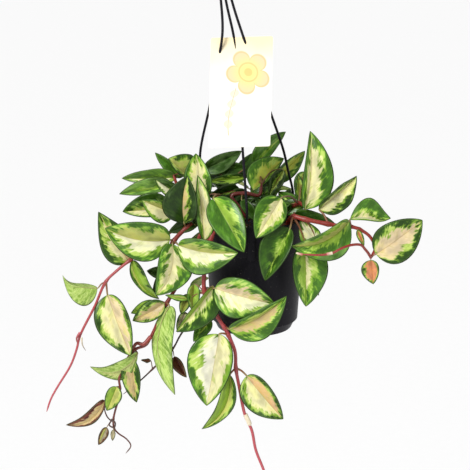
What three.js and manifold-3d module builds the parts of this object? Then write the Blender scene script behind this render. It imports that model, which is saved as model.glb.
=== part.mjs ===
// Tricolor wax plant in a hanging pot. Millimetres, +Z up, the front faces -Y.
// The origin is the inner crown of the hook, where the whole plant hangs.
import * as THREE from 'three';
import { mergeVertices } from 'three/addons/utils/BufferGeometryUtils.js';
import Module from 'manifold-3d';

const wasm = await Module();
wasm.setup();

// Driving dimensions
const clearance = 0.3;
const hook = {
  innerRadius: 13, barRadius: 2.6, tipRadius: 1.6, squash: 0.85, startAngle: -22, openAngle: 200,
  hubTop: -50, hubRadius: 8, hubHeight: 18,
};
const leg = { radius: 1.25, clipWidth: 8.5, clipThick: 1.8, clipLip: 3.2, clipRise: 3, slitClearance: 0.5 };
const card = { width: 71, height: 126, thickness: 0.8, twist: 0.03 };
const pot = {
  across: 41.4, rimBelowHook: 372, rimRadius: 61.5, collarHeight: 37, collarTaper: 1, bodyRadius: 58,
  footRadius: 51.5, footStep: 1.8, footHeight: 11, baseRadius: 45, baseRecess: 3, height: 138, wall: 1.6,
  drainRadius: 4, drainCircle: 26, drains: 5, segments: 28,
};
const soil = { belowRim: 13, mound: 4, roughness: 1.2, rootDepth: 14, rootRise: 7, rootSlack: 1.5 };
const bladeThick = 1.2;
const view = { aim: new THREE.Vector3(18, 0, -397), tilt: THREE.MathUtils.degToRad(15), distance: 1700 };

const potTop = -pot.rimBelowHook;
const soilTop = potTop - soil.belowRim;

const colours = {
  plastic: new THREE.MeshStandardMaterial({ color: 0x1d1b20, roughness: 0.45, metalness: 0 }),
  soil: new THREE.MeshStandardMaterial({ color: 0x2b2019, roughness: 0.95, metalness: 0 }),
  card: new THREE.MeshStandardMaterial({ color: 0xf6f2e2, roughness: 0.7, metalness: 0 }),
  leaf: new THREE.MeshStandardMaterial({ color: 0x6fa043, roughness: 0.4, metalness: 0 }),
};

// A small seeded generator, so that every draw repeats
function drawer(seed) {
  let state = seed;
  return (low, high) => {
    state = (state * 16807) % 2147483647;
    return low + (high - low) * (state / 2147483647);
  };
}

// Leaves and stems are set out as seen from the front: across, up, and how far in front of the pot's axis
const eye = new THREE.Vector3(0, -Math.cos(view.tilt), Math.sin(view.tilt))
  .multiplyScalar(view.distance)
  .add(view.aim);
const upward = new THREE.Vector3(0, Math.sin(view.tilt), Math.cos(view.tilt));

function seen([across, up, front]) {
  const ray = view.aim.clone().addScaledVector(upward, up);
  ray.x += across;
  ray.sub(eye);
  return eye.clone().addScaledVector(ray, (-front - eye.y) / ray.y);
}

function toManifold(geometry) {
  const plain = geometry.clone();
  plain.deleteAttribute('normal');
  plain.deleteAttribute('uv');
  const merged = mergeVertices(plain, 1e-4);
  return new wasm.Manifold(new wasm.Mesh({
    numProp: 3,
    vertProperties: new Float32Array(merged.attributes.position.array),
    triVerts: new Uint32Array(merged.index.array),
  }));
}

function toGeometry(manifold) {
  const mesh = manifold.getMesh();
  const geometry = new THREE.BufferGeometry();
  geometry.setAttribute('position', new THREE.BufferAttribute(new Float32Array(mesh.vertProperties), 3));
  geometry.setIndex(new THREE.BufferAttribute(new Uint32Array(mesh.triVerts), 1));
  geometry.computeVertexNormals();
  return geometry;
}

function fuse(pieces) {
  return pieces.map(toManifold).reduce((whole, piece) => whole.add(piece));
}

function facesOf(points, faces) {
  const geometry = new THREE.BufferGeometry();
  const places = points.flatMap((point) => point.toArray());
  geometry.setAttribute('position', new THREE.Float32BufferAttribute(places, 3));
  geometry.setIndex(faces.flat());
  return geometry;
}

// A closed tube through the points, with a radius for each and a flat or squashed section
function tube(path, radii, sides, squash = 1, startNormal = null) {
  const points = [];
  const faces = [];
  let normal = startNormal ? startNormal.clone() : null;
  path.forEach((centre, i) => {
    const ahead = path[Math.min(i + 1, path.length - 1)];
    const behind = path[Math.max(i - 1, 0)];
    const tangent = ahead.clone().sub(behind).normalize();
    if (!normal) normal = new THREE.Vector3(0.31, 0.87, 0.38);
    normal.addScaledVector(tangent, -normal.dot(tangent)).normalize();
    const side = tangent.clone().cross(normal);
    for (let k = 0; k < sides; k += 1) {
      const angle = (2 * Math.PI * k) / sides;
      points.push(centre.clone()
        .addScaledVector(normal, radii[i] * Math.cos(angle))
        .addScaledVector(side, radii[i] * squash * Math.sin(angle)));
    }
  });
  const last = (path.length - 1) * sides;
  for (let i = 0; i < path.length - 1; i += 1) {
    for (let k = 0; k < sides; k += 1) {
      const a = i * sides + k;
      const b = i * sides + ((k + 1) % sides);
      faces.push([a, b, b + sides], [a, b + sides, a + sides]);
    }
  }
  for (let k = 1; k < sides - 1; k += 1) {
    faces.push([0, k + 1, k], [last, last + k, last + k + 1]);
  }
  return facesOf(points, faces);
}

function smooth(points, perSpan) {
  const curve = new THREE.CatmullRomCurve3(points, false, 'centripetal');
  return curve.getPoints((points.length - 1) * perSpan);
}

// Outline of a wax plant leaf: round at the base, pointed at the tip
const widest = 0.37;
const outline = (t) => 2.435 * t ** 0.5 * (1 - t) ** 0.85;
const fineGrid = { rows: [0, 0.07, 0.26, 0.52, 0.8, 1], columns: [1, 0.55, 0, -0.55, -1] };
const smallGrid = { rows: [0, 0.12, 0.45, 0.78, 1], columns: [1, 0, -1] };
const smallLeaf = 40;
// How far a blade arches along its midrib, how full each half is and how late its tip curls
const form = { arch: 0.05, fullness: 0.12, curlPower: 6 };

// The frame of a leaf that the front shows, from its base, its tip and the two margins at its
// widest, each margin as how far it shows beside the midrib and how far it stands in front of it;
// bow carries the midrib sideways, hook turns the tip away and plain asks for few faces
function shownLeaf({ base, tip, left, right, bow = 0, hook = [0, 0, 0], under = false, plain = false }) {
  const run = new THREE.Vector2(tip[0] - base[0], tip[1] - base[1]);
  const beside = new THREE.Vector2(-run.y, run.x).normalize();
  const middle = base.map((value, i) => value + (tip[i] - value) * widest);
  const shifted = (width, lift) => seen([
    middle[0] + beside.x * width, middle[1] + beside.y * width, middle[2] + lift,
  ]);
  const foot = seen(base);
  const along = seen(tip).sub(foot);
  const heart = seen(middle);
  const edges = [shifted(left[0], left[1]).sub(heart), shifted(-right[0], right[1]).sub(heart)];
  const facing = along.clone().cross(edges[0].clone().sub(edges[1])).normalize();
  if (under) facing.negate();
  const sway = shifted(bow, 0).sub(heart).addScaledVector(facing, form.arch * along.length());
  const curl = seen(tip.map((value, i) => value + hook[i])).sub(seen(tip));
  return { foot, along, edges, facing, sway, curl, plain };
}

// The frame of a leaf that grows at a point, towards a direction and facing another
function grownLeaf({ foot, towards, facing, length, width, fold, arch = 0.08 }) {
  const along = towards.clone().normalize().multiplyScalar(length);
  const face = facing.clone().addScaledVector(along, -facing.dot(along) / along.lengthSq()).normalize();
  const leftwards = face.clone().cross(along).normalize();
  const edges = [1, -1].map((side) => leftwards.clone()
    .multiplyScalar((side * width) / 2)
    .addScaledVector(face, fold));
  const sway = face.clone().multiplyScalar(arch * length);
  return { foot, along, edges, facing: face, sway, curl: new THREE.Vector3(), plain: false };
}

function bladePoint({ foot, along, edges, facing, sway, curl }, s, t) {
  const edge = s > 0 ? edges[0] : edges[1];
  const reach = Math.abs(s);
  return foot.clone()
    .addScaledVector(along, t)
    .addScaledVector(sway, 4 * t * (1 - t))
    .addScaledVector(curl, t ** form.curlPower)
    .addScaledVector(edge, reach * outline(t))
    .addScaledVector(facing, form.fullness * edge.length() * (reach - reach * reach) * outline(t));
}

function bladeNormal(leaf, s, t) {
  const step = 0.01;
  const inner = THREE.MathUtils.clamp(t, 0.03, 0.97);
  const [left, right] = [Math.min(s + step, 1), Math.max(s - step, -1)];
  const along = bladePoint(leaf, s, inner + step).sub(bladePoint(leaf, s, inner - step));
  const across = bladePoint(leaf, left, inner).sub(bladePoint(leaf, right, inner));
  return along.cross(across).normalize();
}

// The rings of a petiole from the blade's foot down into the stem, each top, left, low, right
function petioleRings(from, leaf) {
  const { foot, along, facing } = leaf;
  const bend = from.clone().lerp(foot, 0.5);
  bend.z += from.distanceTo(foot) * 0.12;
  const size = THREE.MathUtils.clamp(along.length() / 60, 0.5, 1);
  const rings = [
    { centre: foot, radius: 1.1 * size, course: foot.clone().sub(bend) },
    { centre: bend, radius: 1.2 * size, course: foot.clone().sub(from) },
    { centre: from, radius: 1.6 * size, course: bend.clone().sub(from) },
  ];
  const heading = bladePoint(leaf, 0, 0.04).sub(foot).normalize();
  const face = facing.clone().addScaledVector(heading, -facing.dot(heading)).normalize();
  return rings.map(({ centre, radius, course }) => {
    course.normalize();
    face.applyQuaternion(new THREE.Quaternion().setFromUnitVectors(heading, course));
    heading.copy(course);
    const leftwards = face.clone().cross(heading);
    return [face, leftwards, face.clone().negate(), leftwards.clone().negate()]
      .map((way) => centre.clone().addScaledVector(way, radius));
  });
}

// A leaf with its petiole: a blade of even thickness, with the same diagonals on both faces
function leafSolid(from, leaf) {
  const { rows, columns } = leaf.plain || leaf.along.length() < smallLeaf ? smallGrid : fineGrid;
  const faces = [];
  const rings = petioleRings(from, leaf);
  const points = rings.flat();
  rings.slice(1).forEach((_, i) => {
    for (let k = 0; k < 4; k += 1) {
      const [a, b] = [4 * i + k, 4 * i + ((k + 1) % 4)];
      faces.push([a, b, b + 4], [a, b + 4, a + 4]);
    }
  });
  faces.push([8, 9, 10], [8, 10, 11]);
  const grids = [1, -1].map((side) => rows.map((t) => {
    if (t === 0) return [side > 0 ? 0 : 2];
    return (t === 1 ? [0] : columns).map((s) => {
      const lift = bladeNormal(leaf, s, t).multiplyScalar((side * bladeThick) / 2);
      return points.push(bladePoint(leaf, s, t).add(lift)) - 1;
    });
  }));
  grids.forEach((grid, under) => {
    const add = (a, b, c) => faces.push(under ? [a, b, c] : [a, c, b]);
    for (let i = 0; i < grid.length - 1; i += 1) {
      const [here, next] = [grid[i], grid[i + 1]];
      for (let k = 0; k < columns.length - 1; k += 1) {
        if (here.length === 1) add(here[0], next[k], next[k + 1]);
        else if (next.length === 1) add(here[k], next[0], here[k + 1]);
        else {
          add(here[k], next[k], here[k + 1]);
          add(here[k + 1], next[k], next[k + 1]);
        }
      }
    }
  });
  const [top, low] = grids;
  [0, -1].forEach((margin) => {
    const add = (a, b, c) => faces.push(margin ? [a, c, b] : [a, b, c]);
    for (let i = 0; i < rows.length - 1; i += 1) {
      const [a, b, c, d] = [top[i], top[i + 1], low[i], low[i + 1]].map((row) => row.at(margin));
      if (i > 0) {
        add(a, b, c);
        add(b, d, c);
      } else {
        const flank = margin ? 3 : 1;
        add(a, b, flank);
        add(b, d, flank);
        add(d, c, flank);
      }
    }
  });
  return facesOf(points, faces);
}

// A stem through its route, thicker at each node that bears a leaf or a shoot
function stem(points, girth, bearing, perSpan) {
  const path = smooth(points, perSpan);
  const radii = path.map((_, i) => {
    const along = i / (path.length - 1);
    const swell = i % perSpan === 0 && bearing.has(i / perSpan) ? 1.3 : 1;
    return THREE.MathUtils.lerp(girth[0], girth[1], along) * swell;
  });
  return tube(path, radii, 6);
}

// A shoot with its leaves, and the side shoots that leave it
function growth(shoot, points) {
  const { leaves = [], shoots = [], route, girth } = shoot;
  const offset = points.length - route.length;
  const bearing = new Set([...leaves, ...shoots].map((item) => item.at + offset));
  return [
    stem(points, girth, bearing, route.length > 8 ? 1 : 2),
    ...leaves.map((plan) => leafSolid(points[plan.at + offset], plan.frame ?? shownLeaf(plan))),
    ...shoots.flatMap((next) => growth(next, [points[next.at + offset], ...next.route.map(seen)])),
  ];
}

const rootSpot = ([across, front], height) => new THREE.Vector3(pot.across + across, -front, height);
const roots = ({ root }) => [-soil.rootDepth, soil.rootRise]
  .map((height) => rootSpot(root, soilTop + height));

// A vine at the back or side hangs over the rim, with leaves in turn to both sides and outwards
function hangingVine({ root, bearing, stand, drop, nodes, seed, crown = [], size = 1 }) {
  const girth = [2.6, 1.6];
  const draw = drawer(seed);
  const angle = THREE.MathUtils.degToRad(bearing);
  const out = new THREE.Vector3(Math.cos(angle), Math.sin(angle), 0);
  const side = new THREE.Vector3(-Math.sin(angle), Math.cos(angle), 0);
  const down = new THREE.Vector3(0, 0, -1);
  const at = (radius, height, shift = 0) => new THREE.Vector3(pot.across, 0, potTop + height)
    .addScaledVector(out, radius)
    .addScaledVector(side, shift);
  const points = [
    at(pot.rimRadius - 10, 6),
    at(pot.rimRadius + 0.3 * stand, 9),
    at(pot.rimRadius + 0.9 * stand, -4),
  ];
  const leaves = crown.map((way, k) => {
    const towards = side.clone().multiplyScalar(0.8 * way).addScaledVector(out, draw(0.3, 0.7));
    towards.z = draw(0.02, 0.3);
    const foot = points[k].clone().addScaledVector(towards.normalize(), 9);
    foot.z += 5;
    const facing = out.clone().addScaledVector(down, -1.6);
    const length = size * draw(40, 52);
    return { at: k, frame: grownLeaf({ foot, towards, facing, length, width: length * 0.52, fold: 4 }) };
  });
  for (let k = 0; k < nodes; k += 1) {
    const share = (k + 1) / nodes;
    const point = at(pot.rimRadius + stand + 5 * share, -8 - drop * share, draw(-6, 6) * share);
    points.push(point);
    const sides = k % 2 ? [0] : [-1, 1];
    sides.forEach((way) => {
      const towards = side.clone().multiplyScalar(way * draw(0.7, 0.95))
        .addScaledVector(out, way ? draw(0.05, 0.25) : 0.75)
        .addScaledVector(down, draw(0.35, 0.75));
      const facing = out.clone().addScaledVector(down, -draw(0.5, 0.9));
      const length = size * draw(58, 74) * (1 - 0.35 * share);
      const foot = point.clone().addScaledVector(towards.normalize(), 12);
      const leaf = { foot, towards, facing, length, width: length * draw(0.5, 0.58), fold: draw(3, 7) };
      leaves.push({ at: k + 3, frame: grownLeaf(leaf) });
    });
  }
  return { root, girth, route: points, points, leaves };
}

function vine(plan) {
  const pieces = fuse(growth(plan, [...roots(plan), ...(plan.points ?? plan.route.map(seen))]));
  return pieces.decompose().sort((a, b) => b.volume() - a.volume())[0];
}

const vines = {
  vine_left_long: {
    root: [-45, 6], girth: [2.2, 1.1],
    route: [
      [-37, 27, 15], [-84, -1, 30], [-114, -22, 38], [-127, -31, 42], [-142, -43, 46], [-155, -56, 50],
      [-168, -85, 50], [-186, -121, 48], [-190, -137, 47], [-197, -156, 46], [-214, -184, 44],
      [-221, -197, 43], [-226, -212, 42],
    ],
    leaves: [
      {
        at: 3, base: [-127, -33, 38], tip: [-160, 19, 40], left: [21, 8], right: [20, 4],
        hook: [-4, 9, 0],
      },
      { at: 3, base: [-124, -31, 38], tip: [-91, -77, 40], left: [11, 12], right: [6, 4], bow: -6 },
      {
        at: 5, base: [-165, -64, 50], tip: [-208, -61, 54], left: [22, -4], right: [5, -16],
        hook: [1, 13, 0], under: true,
      },
      { at: 5, base: [-153, -72, 54], tip: [-125, -145, 65], left: [16, 6], right: [26, 6] },
    ],
  },
  vine_left_crown: {
    root: [-40, 18], girth: [3, 2.4],
    route: [
      [-33, 25, 27], [-59, 8, 38], [-74, -8, 47], [-79, -18, 46],
    ],
    leaves: [
      { at: 2, base: [-78, -6, 52], tip: [-156, 8, 68], left: [26, 8], right: [23, 14], bow: 5 },
      { at: 2, base: [-68, -12, 54], tip: [4, -21, 80], left: [15, 16], right: [28, 8], bow: -3 },
      { at: 2, base: [-75, -11, 53], tip: [-95, -73, 52], left: [25, 4], right: [18, 8], bow: 8 },
      { at: 1, base: [-61, 14, 44], tip: [-57, 71, 56], left: [25, 6], right: [18, 12], bow: 3 },
      { at: 0, base: [-48, 12, 36], tip: [-56, 64, 40], left: [6, 4], right: [8, 4], plain: true },
      { at: 0, base: [-42, 20, 30], tip: [-80, 3, 42], left: [9, 4], right: [10, 4], plain: true },
    ],
  },
  vine_lower_left: {
    root: [-32, 31], girth: [2.6, 0.7],
    route: [
      [-27, 20, 38], [-50, -18, 40], [-64, -52, 40], [-82, -82, 44], [-94, -108, 46], [-102, -124, 47],
      [-107, -132, 48], [-121, -138, 49], [-134, -158, 49], [-139, -173, 49], [-138, -184, 49],
      [-141, -200, 49], [-146, -222, 49], [-145, -232, 49], [-140, -238, 49], [-130, -245, 49],
      [-125, -253, 49], [-131, -262, 49],
    ],
    leaves: [
      { at: 2, base: [-76, -48, 28], tip: [-106, -43, 28], left: [8, 4], right: [9, 4] },
      { at: 2, base: [-88, -44, 30], tip: [-99, -72, 30], left: [4, 2], right: [4, 2], plain: true },
      {
        at: 3, base: [-79, -85, 54], tip: [-72, -192, 62], left: [19, 6], right: [8, -8], bow: -20,
        under: true,
      },
      { at: 3, base: [-85, -82, 48], tip: [-123, -103, 44], left: [12, 5], right: [12, 5] },
      { at: 3, base: [-96, -80, 38], tip: [-125, -94, 34], left: [7, 3], right: [7, 3] },
      {
        at: 7, base: [-117, -142, 52], tip: [-174, -158, 58], left: [12, -5], right: [10, 6], bow: 16,
        under: true,
      },
      { at: 7, base: [-125, -148, 44], tip: [-118, -201, 44], left: [9, 5], right: [14, 5] },
      { at: 10, base: [-142, -182, 54], tip: [-154, -211, 56], left: [11, 3], right: [9, 3] },
      { at: 11, base: [-156, -199, 48], tip: [-203, -228, 48], left: [6, 3], right: [10, 4], bow: 9 },
      { at: 12, base: [-154, -231, 48], tip: [-164, -252, 48], left: [6, 2], right: [5, 2] },
      { at: 13, base: [-146, -234, 54], tip: [-147, -247, 55], left: [3, 1], right: [3, 1] },
    ],
  },
  vine_front: {
    root: [-18, 42], girth: [2.9, 1.2],
    route: [
      [-17, 17, 49], [-30, -8, 54], [-37, -46, 54], [-36, -70, 56], [-23, -95, 56], [-12, -112, 57],
      [-8, -120, 57], [0, -140, 58], [1, -160, 58], [5, -182, 58], [12, -216, 58], [20, -234, 58],
      [25, -258, 58], [34, -281, 58], [38, -294, 58],
    ],
    leaves: [
      { at: 1, base: [-37, -6, 54], tip: [-45, 72, 38], left: [7, 6], right: [15, 2] },
      { at: 3, base: [-24, -64, 66], tip: [48, -83, 82], left: [21, 8], right: [28, 6] },
      { at: 3, base: [-26, -62, 62], tip: [-71, -116, 64], left: [25, 4], right: [5, 10] },
      { at: 3, base: [-49, -59, 50], tip: [-51, -91, 48], left: [8, 4], right: [8, 4] },
      { at: 3, base: [-56, -71, 46], tip: [-65, -95, 46], left: [7, 3], right: [7, 3] },
      { at: 3, base: [-56, -77, 51], tip: [-84, -72, 53], left: [4, 2], right: [4, 2] },
      { at: 4, base: [-30, -100, 48], tip: [-50, -128, 50], left: [9, 4], right: [9, 4] },
      { at: 5, base: [-7, -113, 64], tip: [62, -73, 86], left: [9, 14], right: [26, 6], bow: -4 },
      { at: 6, base: [-19, -119, 62], tip: [-34, -205, 66], left: [22, 5], right: [33, 5] },
      { at: 8, base: [-6, -168, 60], tip: [-40, -233, 60], left: [10, 6], right: [11, 10], bow: 11 },
      { at: 8, base: [14, -169, 62], tip: [58, -221, 66], left: [14, 6], right: [24, 6] },
    ],
    shoots: [{
      at: 3, girth: [1.3, 0.8],
      route: [
        [-52, -100, 44], [-66, -121, 35], [-75, -137, 33], [-99, -161, 32], [-114, -175, 32],
        [-134, -191, 32],
      ],
      leaves: [
        { at: 0, base: [-60, -93, 44], tip: [-69, -117, 40], left: [6, 4], right: [6, 4] },
        { at: 2, base: [-73, -146, 34], tip: [-58, -171, 36], left: [5, 3], right: [8, 3] },
        { at: 3, base: [-101, -151, 34], tip: [-113, -150, 34], left: [2.5, 1], right: [2.5, 1] },
      ],
    }],
  },
  vine_right: {
    root: [38, 30], girth: [3, 1.6],
    route: [
      [70, 22, 44], [83, 19, 50], [112, 13, 53], [126, 11, 54], [139, 10, 54], [149, 7, 54],
      [162, -2, 54], [168, -16, 54], [163, -27, 54],
    ],
    leaves: [
      { at: 0, base: [66, 8, 62], tip: [36, -55, 78], left: [12, 12], right: [25, 4] },
      { at: 0, base: [84, -10, 48], tip: [85, -86, 52], left: [27, 5], right: [16, 8] },
      { at: 1, base: [100, -12, 44], tip: [79, 18, 40], left: [15, 4], right: [11, 4] },
      { at: 2, base: [101, 31, 42], tip: [146, 71, 36], left: [7, 14], right: [20, 6] },
      { at: 4, base: [137, 17, 60], tip: [67, -13, 70], left: [27, 6], right: [11, 14], bow: 9 },
      {
        at: 4, base: [138, 19, 55], tip: [180, 8, 60], left: [24, 4], right: [4, 12], bow: 7,
        hook: [7, 12, 2],
      },
      { at: 5, base: [147, 6, 58], tip: [155, -13, 59], left: [4, 3], right: [4, 3] },
      { at: 8, base: [169, -23, 55], tip: [225, 18, 60], left: [24, 4], right: [27, 4] },
      { at: 8, base: [163, -30, 56], tip: [166, -59, 58], left: [9, 3], right: [13, 3] },
      { at: 0, base: [72, 26, 22], tip: [120, 14, 24], left: [9, 4], right: [5, 4], plain: true },
    ],
    shoots: [{
      at: 8, girth: [1.4, 0.8],
      route: [
        [160, -22, 62], [156, -17, 68], [151, -12, 75], [140, -12, 84], [128, -16, 90], [116, -22, 92],
        [102, -24, 92], [80, -23, 90],
      ],
    }],
  },
  shoot_front_left: {
    root: [-14, 24], girth: [2.6, 2],
    route: [
      [-27, 32, 34], [-19, 48, 38],
    ],
    leaves: [
      { at: 1, base: [-26, 44, 54], tip: [11, -21, 92], left: [22, 4], right: [19, 8] },
      { at: 1, base: [-38, 44, 24], tip: [-47, 98, 12], left: [20, 6], right: [14, 8] },
    ],
  },
  shoot_far_left: {
    root: [-46, -12], girth: [2.6, 1.8],
    route: [
      [-36, 36, -2], [-54, 46, 0], [-68, 58, 2], [-74, 72, 0],
    ],
    leaves: [
      { at: 1, base: [-78, 34, 16], tip: [-135, 28, 22], left: [10, 8], right: [20, 8] },
      { at: 1, base: [-72, 26, 30], tip: [-112, 42, 36], left: [17, 6], right: [9, 8] },
      { at: 2, base: [-70, 50, 20], tip: [-96, 67, 24], left: [9, 6], right: [9, 6] },
      { at: 2, base: [-76, 60, 8], tip: [-139, 49, 12], left: [6, 6], right: [14, 6] },
      { at: 3, base: [-70, 69, -4], tip: [-136, 68, -4], left: [8, 6], right: [12, 8] },
      { at: 3, base: [-62, 70, -14], tip: [-96, 99, -16], left: [9, 5], right: [6, 5] },
      { at: 3, base: [-57, 71, -6], tip: [-80, 92, 2], left: [6, 4], right: [22, -6] },
    ],
  },
  shoot_back_left: {
    root: [-22, -26], girth: [2.4, 1.8],
    route: [
      [-8, 50, -30], [-4, 62, -38],
    ],
    leaves: [
      { at: 1, base: [-38, 78, -34], tip: [8, 101, -50], left: [9, 6], right: [13, 6] },
      { at: 1, base: [-14, 66, -46], tip: [-50, 76, -60], left: [12, 6], right: [12, 6] },
      { at: 0, base: [12, 69, -34], tip: [-34, 64, -24], left: [7, 6], right: [7, 4] },
      { at: 0, base: [4, 56, -22], tip: [-32, 46, -6], left: [9, 4], right: [9, 4] },
      { at: 1, base: [-2, 66, -56], tip: [20, 98, -80], left: [7, 6], right: [12, 6] },
      { at: 1, base: [12, 80, -48], tip: [-36, 80, -42], left: [8, 4], right: [8, 4], plain: true },
      { at: 0, base: [14, 52, -26], tip: [-24, 40, -16], left: [8, 4], right: [8, 4], plain: true },
    ],
  },
  shoot_behind_card: {
    root: [-8, -2], girth: [2.8, 2],
    route: [
      [-4, 47, -4], [13, 50, -8], [29, 48, -12], [32, 62, -22],
    ],
    leaves: [
      { at: 3, base: [22, 54, -30], tip: [59, 92, -54], left: [24, -4], right: [6, 4] },
      { at: 3, base: [46, 64, -38], tip: [84, 101, -68], left: [8, 6], right: [12, 6] },
      { at: 3, base: [23, 83, -62], tip: [61, 124, -86], left: [15, 6], right: [6, 6] },
      { at: 3, base: [58, 78, -26], tip: [40, 46, -20], left: [8, 4], right: [9, 4], plain: true },
      { at: 1, base: [8, 42, 10], tip: [30, 14, 18], left: [7, 4], right: [7, 4], plain: true },
    ],
  },
  shoot_right: {
    root: [32, -4], girth: [2.6, 2],
    route: [
      [76, 38, 14], [84, 36, 24], [86, 44, 24],
    ],
    leaves: [
      { at: 2, base: [84, 31, 34], tip: [90, 125, 22], left: [9, 8], right: [28, 6], bow: -4 },
      { at: 0, base: [55, 44, 50], tip: [25, -4, 82], left: [18, 6], right: [21, 6] },
      { at: 1, base: [78, 42, 4], tip: [76, 73, -6], left: [6, 4], right: [7, 4] },
      { at: 0, base: [80, 30, 4], tip: [52, 52, -10], left: [12, 4], right: [10, 4] },
      { at: 0, base: [84, 76, -14], tip: [75, 44, -8], left: [9, 4], right: [10, 4], plain: true },
      { at: 0, base: [52, 28, 4], tip: [88, 38, 8], left: [8, 4], right: [8, 4], plain: true },
    ],
  },
};

Object.assign(vines, {
  vine_back_left: hangingVine({
    root: [-26, -40], bearing: 131, stand: 10, drop: 104, nodes: 4, size: 0.82, seed: 11,
  }),
  vine_back: hangingVine({
    root: [4, -44], bearing: 90, stand: 38, drop: 124, nodes: 5, crown: [-1, 1], seed: 23,
  }),
  vine_back_right: hangingVine({
    root: [28, -38], bearing: 50, stand: 10, drop: 104, nodes: 4, size: 0.82, seed: 37,
  }),
});

function lathe(profile, segments) {
  const points = profile.map(([radius, height]) => new THREE.Vector2(radius, height));
  return new THREE.LatheGeometry(points, segments).rotateX(Math.PI / 2);
}

function rod(radius, from, to, sides) {
  return tube([from, to], [radius, radius], sides);
}

const potFloor = -pot.height + pot.baseRecess + pot.wall;

function potSolid() {
  const collarLow = pot.rimRadius - pot.collarTaper;
  const wallFoot = pot.footRadius + 1;
  const inner = (r) => r - pot.wall;
  const shell = lathe([
    [0, -pot.height + pot.baseRecess], [pot.baseRadius - 6, -pot.height + pot.baseRecess],
    [pot.baseRadius - 5, -pot.height],
    [pot.baseRadius, -pot.height], [pot.footRadius - pot.footStep, -pot.height + pot.footHeight - 1],
    [wallFoot, -pot.height + pot.footHeight], [pot.bodyRadius, -pot.collarHeight],
    [collarLow, -pot.collarHeight], [pot.rimRadius, 0], [inner(pot.rimRadius), 0],
    [inner(collarLow), -pot.collarHeight + pot.wall], [inner(pot.bodyRadius), -pot.collarHeight + pot.wall],
    [inner(pot.footRadius), -pot.height + pot.footHeight + 1], [pot.baseRadius - 2, potFloor],
    [0, potFloor],
  ], pot.segments);
  let solid = toManifold(shell);
  for (let k = 0; k < pot.drains; k += 1) {
    const angle = (2 * Math.PI * k) / pot.drains;
    const across = pot.drainCircle * Math.cos(angle);
    const back = pot.drainCircle * Math.sin(angle);
    const [low, high] = [-pot.height - 1, potFloor + 1].map((z) => new THREE.Vector3(across, back, z));
    solid = solid.subtract(toManifold(rod(pot.drainRadius, low, high, 10)));
  }
  return solid.translate([pot.across, 0, potTop]);
}

function soilSolid() {
  const draw = drawer(41);
  const inner = (r) => r - pot.wall - clearance;
  const collarLow = pot.rimRadius - pot.collarTaper;
  const topRadius = inner(pot.rimRadius - (pot.collarTaper * soil.belowRim) / pot.collarHeight);
  const rise = (share) => -soil.belowRim + soil.mound * (1 - share * share);
  const top = [0.25, 0.5, 0.75].map((share) => [share * topRadius, rise(share)]);
  const body = lathe([
    [0, -soil.belowRim + soil.mound], ...top, [topRadius, -soil.belowRim],
    [inner(collarLow), -pot.collarHeight + pot.wall + clearance],
    [inner(pot.bodyRadius), -pot.collarHeight + pot.wall + clearance],
    [inner(pot.footRadius), -pot.height + pot.footHeight + 1.4],
    [pot.baseRadius - 2.4, potFloor + clearance], [0, potFloor + clearance],
  ].reverse(), pot.segments);
  const merged = mergeVertices(body.deleteAttribute('normal').deleteAttribute('uv'), 1e-4);
  const place = merged.attributes.position;
  for (let i = 0; i < place.count; i += 1) {
    const radius = Math.hypot(place.getX(i), place.getY(i));
    if (place.getZ(i) > -soil.belowRim + 0.1 && radius < topRadius - 3) {
      place.setZ(i, place.getZ(i) + draw(-soil.roughness, soil.roughness));
    }
  }
  let solid = toManifold(merged).translate([pot.across, 0, potTop]);
  Object.values(vines).forEach((plan) => {
    const [low, high] = [-soil.rootDepth - 2 * clearance, soil.rootRise + 8]
      .map((height) => rootSpot(plan.root, soilTop + height));
    solid = solid.subtract(toManifold(rod(plan.girth[0] + soil.rootSlack, low, high, 7)));
  });
  return solid;
}

// The legs leave the hub close together and reach the collar at three points round it
const clipAngles = { hanger_leg_front: -94, hanger_leg_left: 140, hanger_leg_right: 40 };
const hubCentre = new THREE.Vector3(0, 0, hook.hubTop - hook.hubHeight);
const legStarts = { hanger_leg_front: [1.5, 3.5], hanger_leg_left: [-4, -1.5], hanger_leg_right: [4, -2] };
const legRoutes = {
  hanger_leg_front: [[-11, 282, 8], [0, 229, 19], [9, 105, 45], [14, 35, 61], [15.5, 14, 64]],
  hanger_leg_left: [
    [-17, 282, 8], [-15, 244, 26], [-19, 214, 20], [-30, 156, -2], [-42, 94, -20], [-37, 64, -33],
  ],
  hanger_leg_right: [
    [-4, 282, 8], [12, 232, 19], [44, 143, 0], [58, 102, -14], [64, 76, -27], [69, 55, -36],
  ],
};

function legPath(name) {
  const [x, front] = legStarts[name];
  const inHub = new THREE.Vector3(x, -front, hubCentre.z + 6);
  const below = new THREE.Vector3(x, -front, hubCentre.z - 5);
  return [inHub, below, ...legRoutes[name].map(seen)];
}

function clipStart(name) {
  const angle = THREE.MathUtils.degToRad(clipAngles[name]);
  const radius = pot.rimRadius + clearance + leg.clipThick / 2;
  const place = (r, z) => new THREE.Vector3(r * Math.cos(angle), r * Math.sin(angle), z + potTop)
    .add(new THREE.Vector3(pot.across, 0, 0));
  return { angle, radius, place };
}

function legRod(name, radius, sides) {
  const { place, radius: clipRadius } = clipStart(name);
  const path = smooth([...legPath(name), place(clipRadius, 8), place(clipRadius, -4)], 2);
  return tube(path, path.map(() => radius), sides);
}

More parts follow.
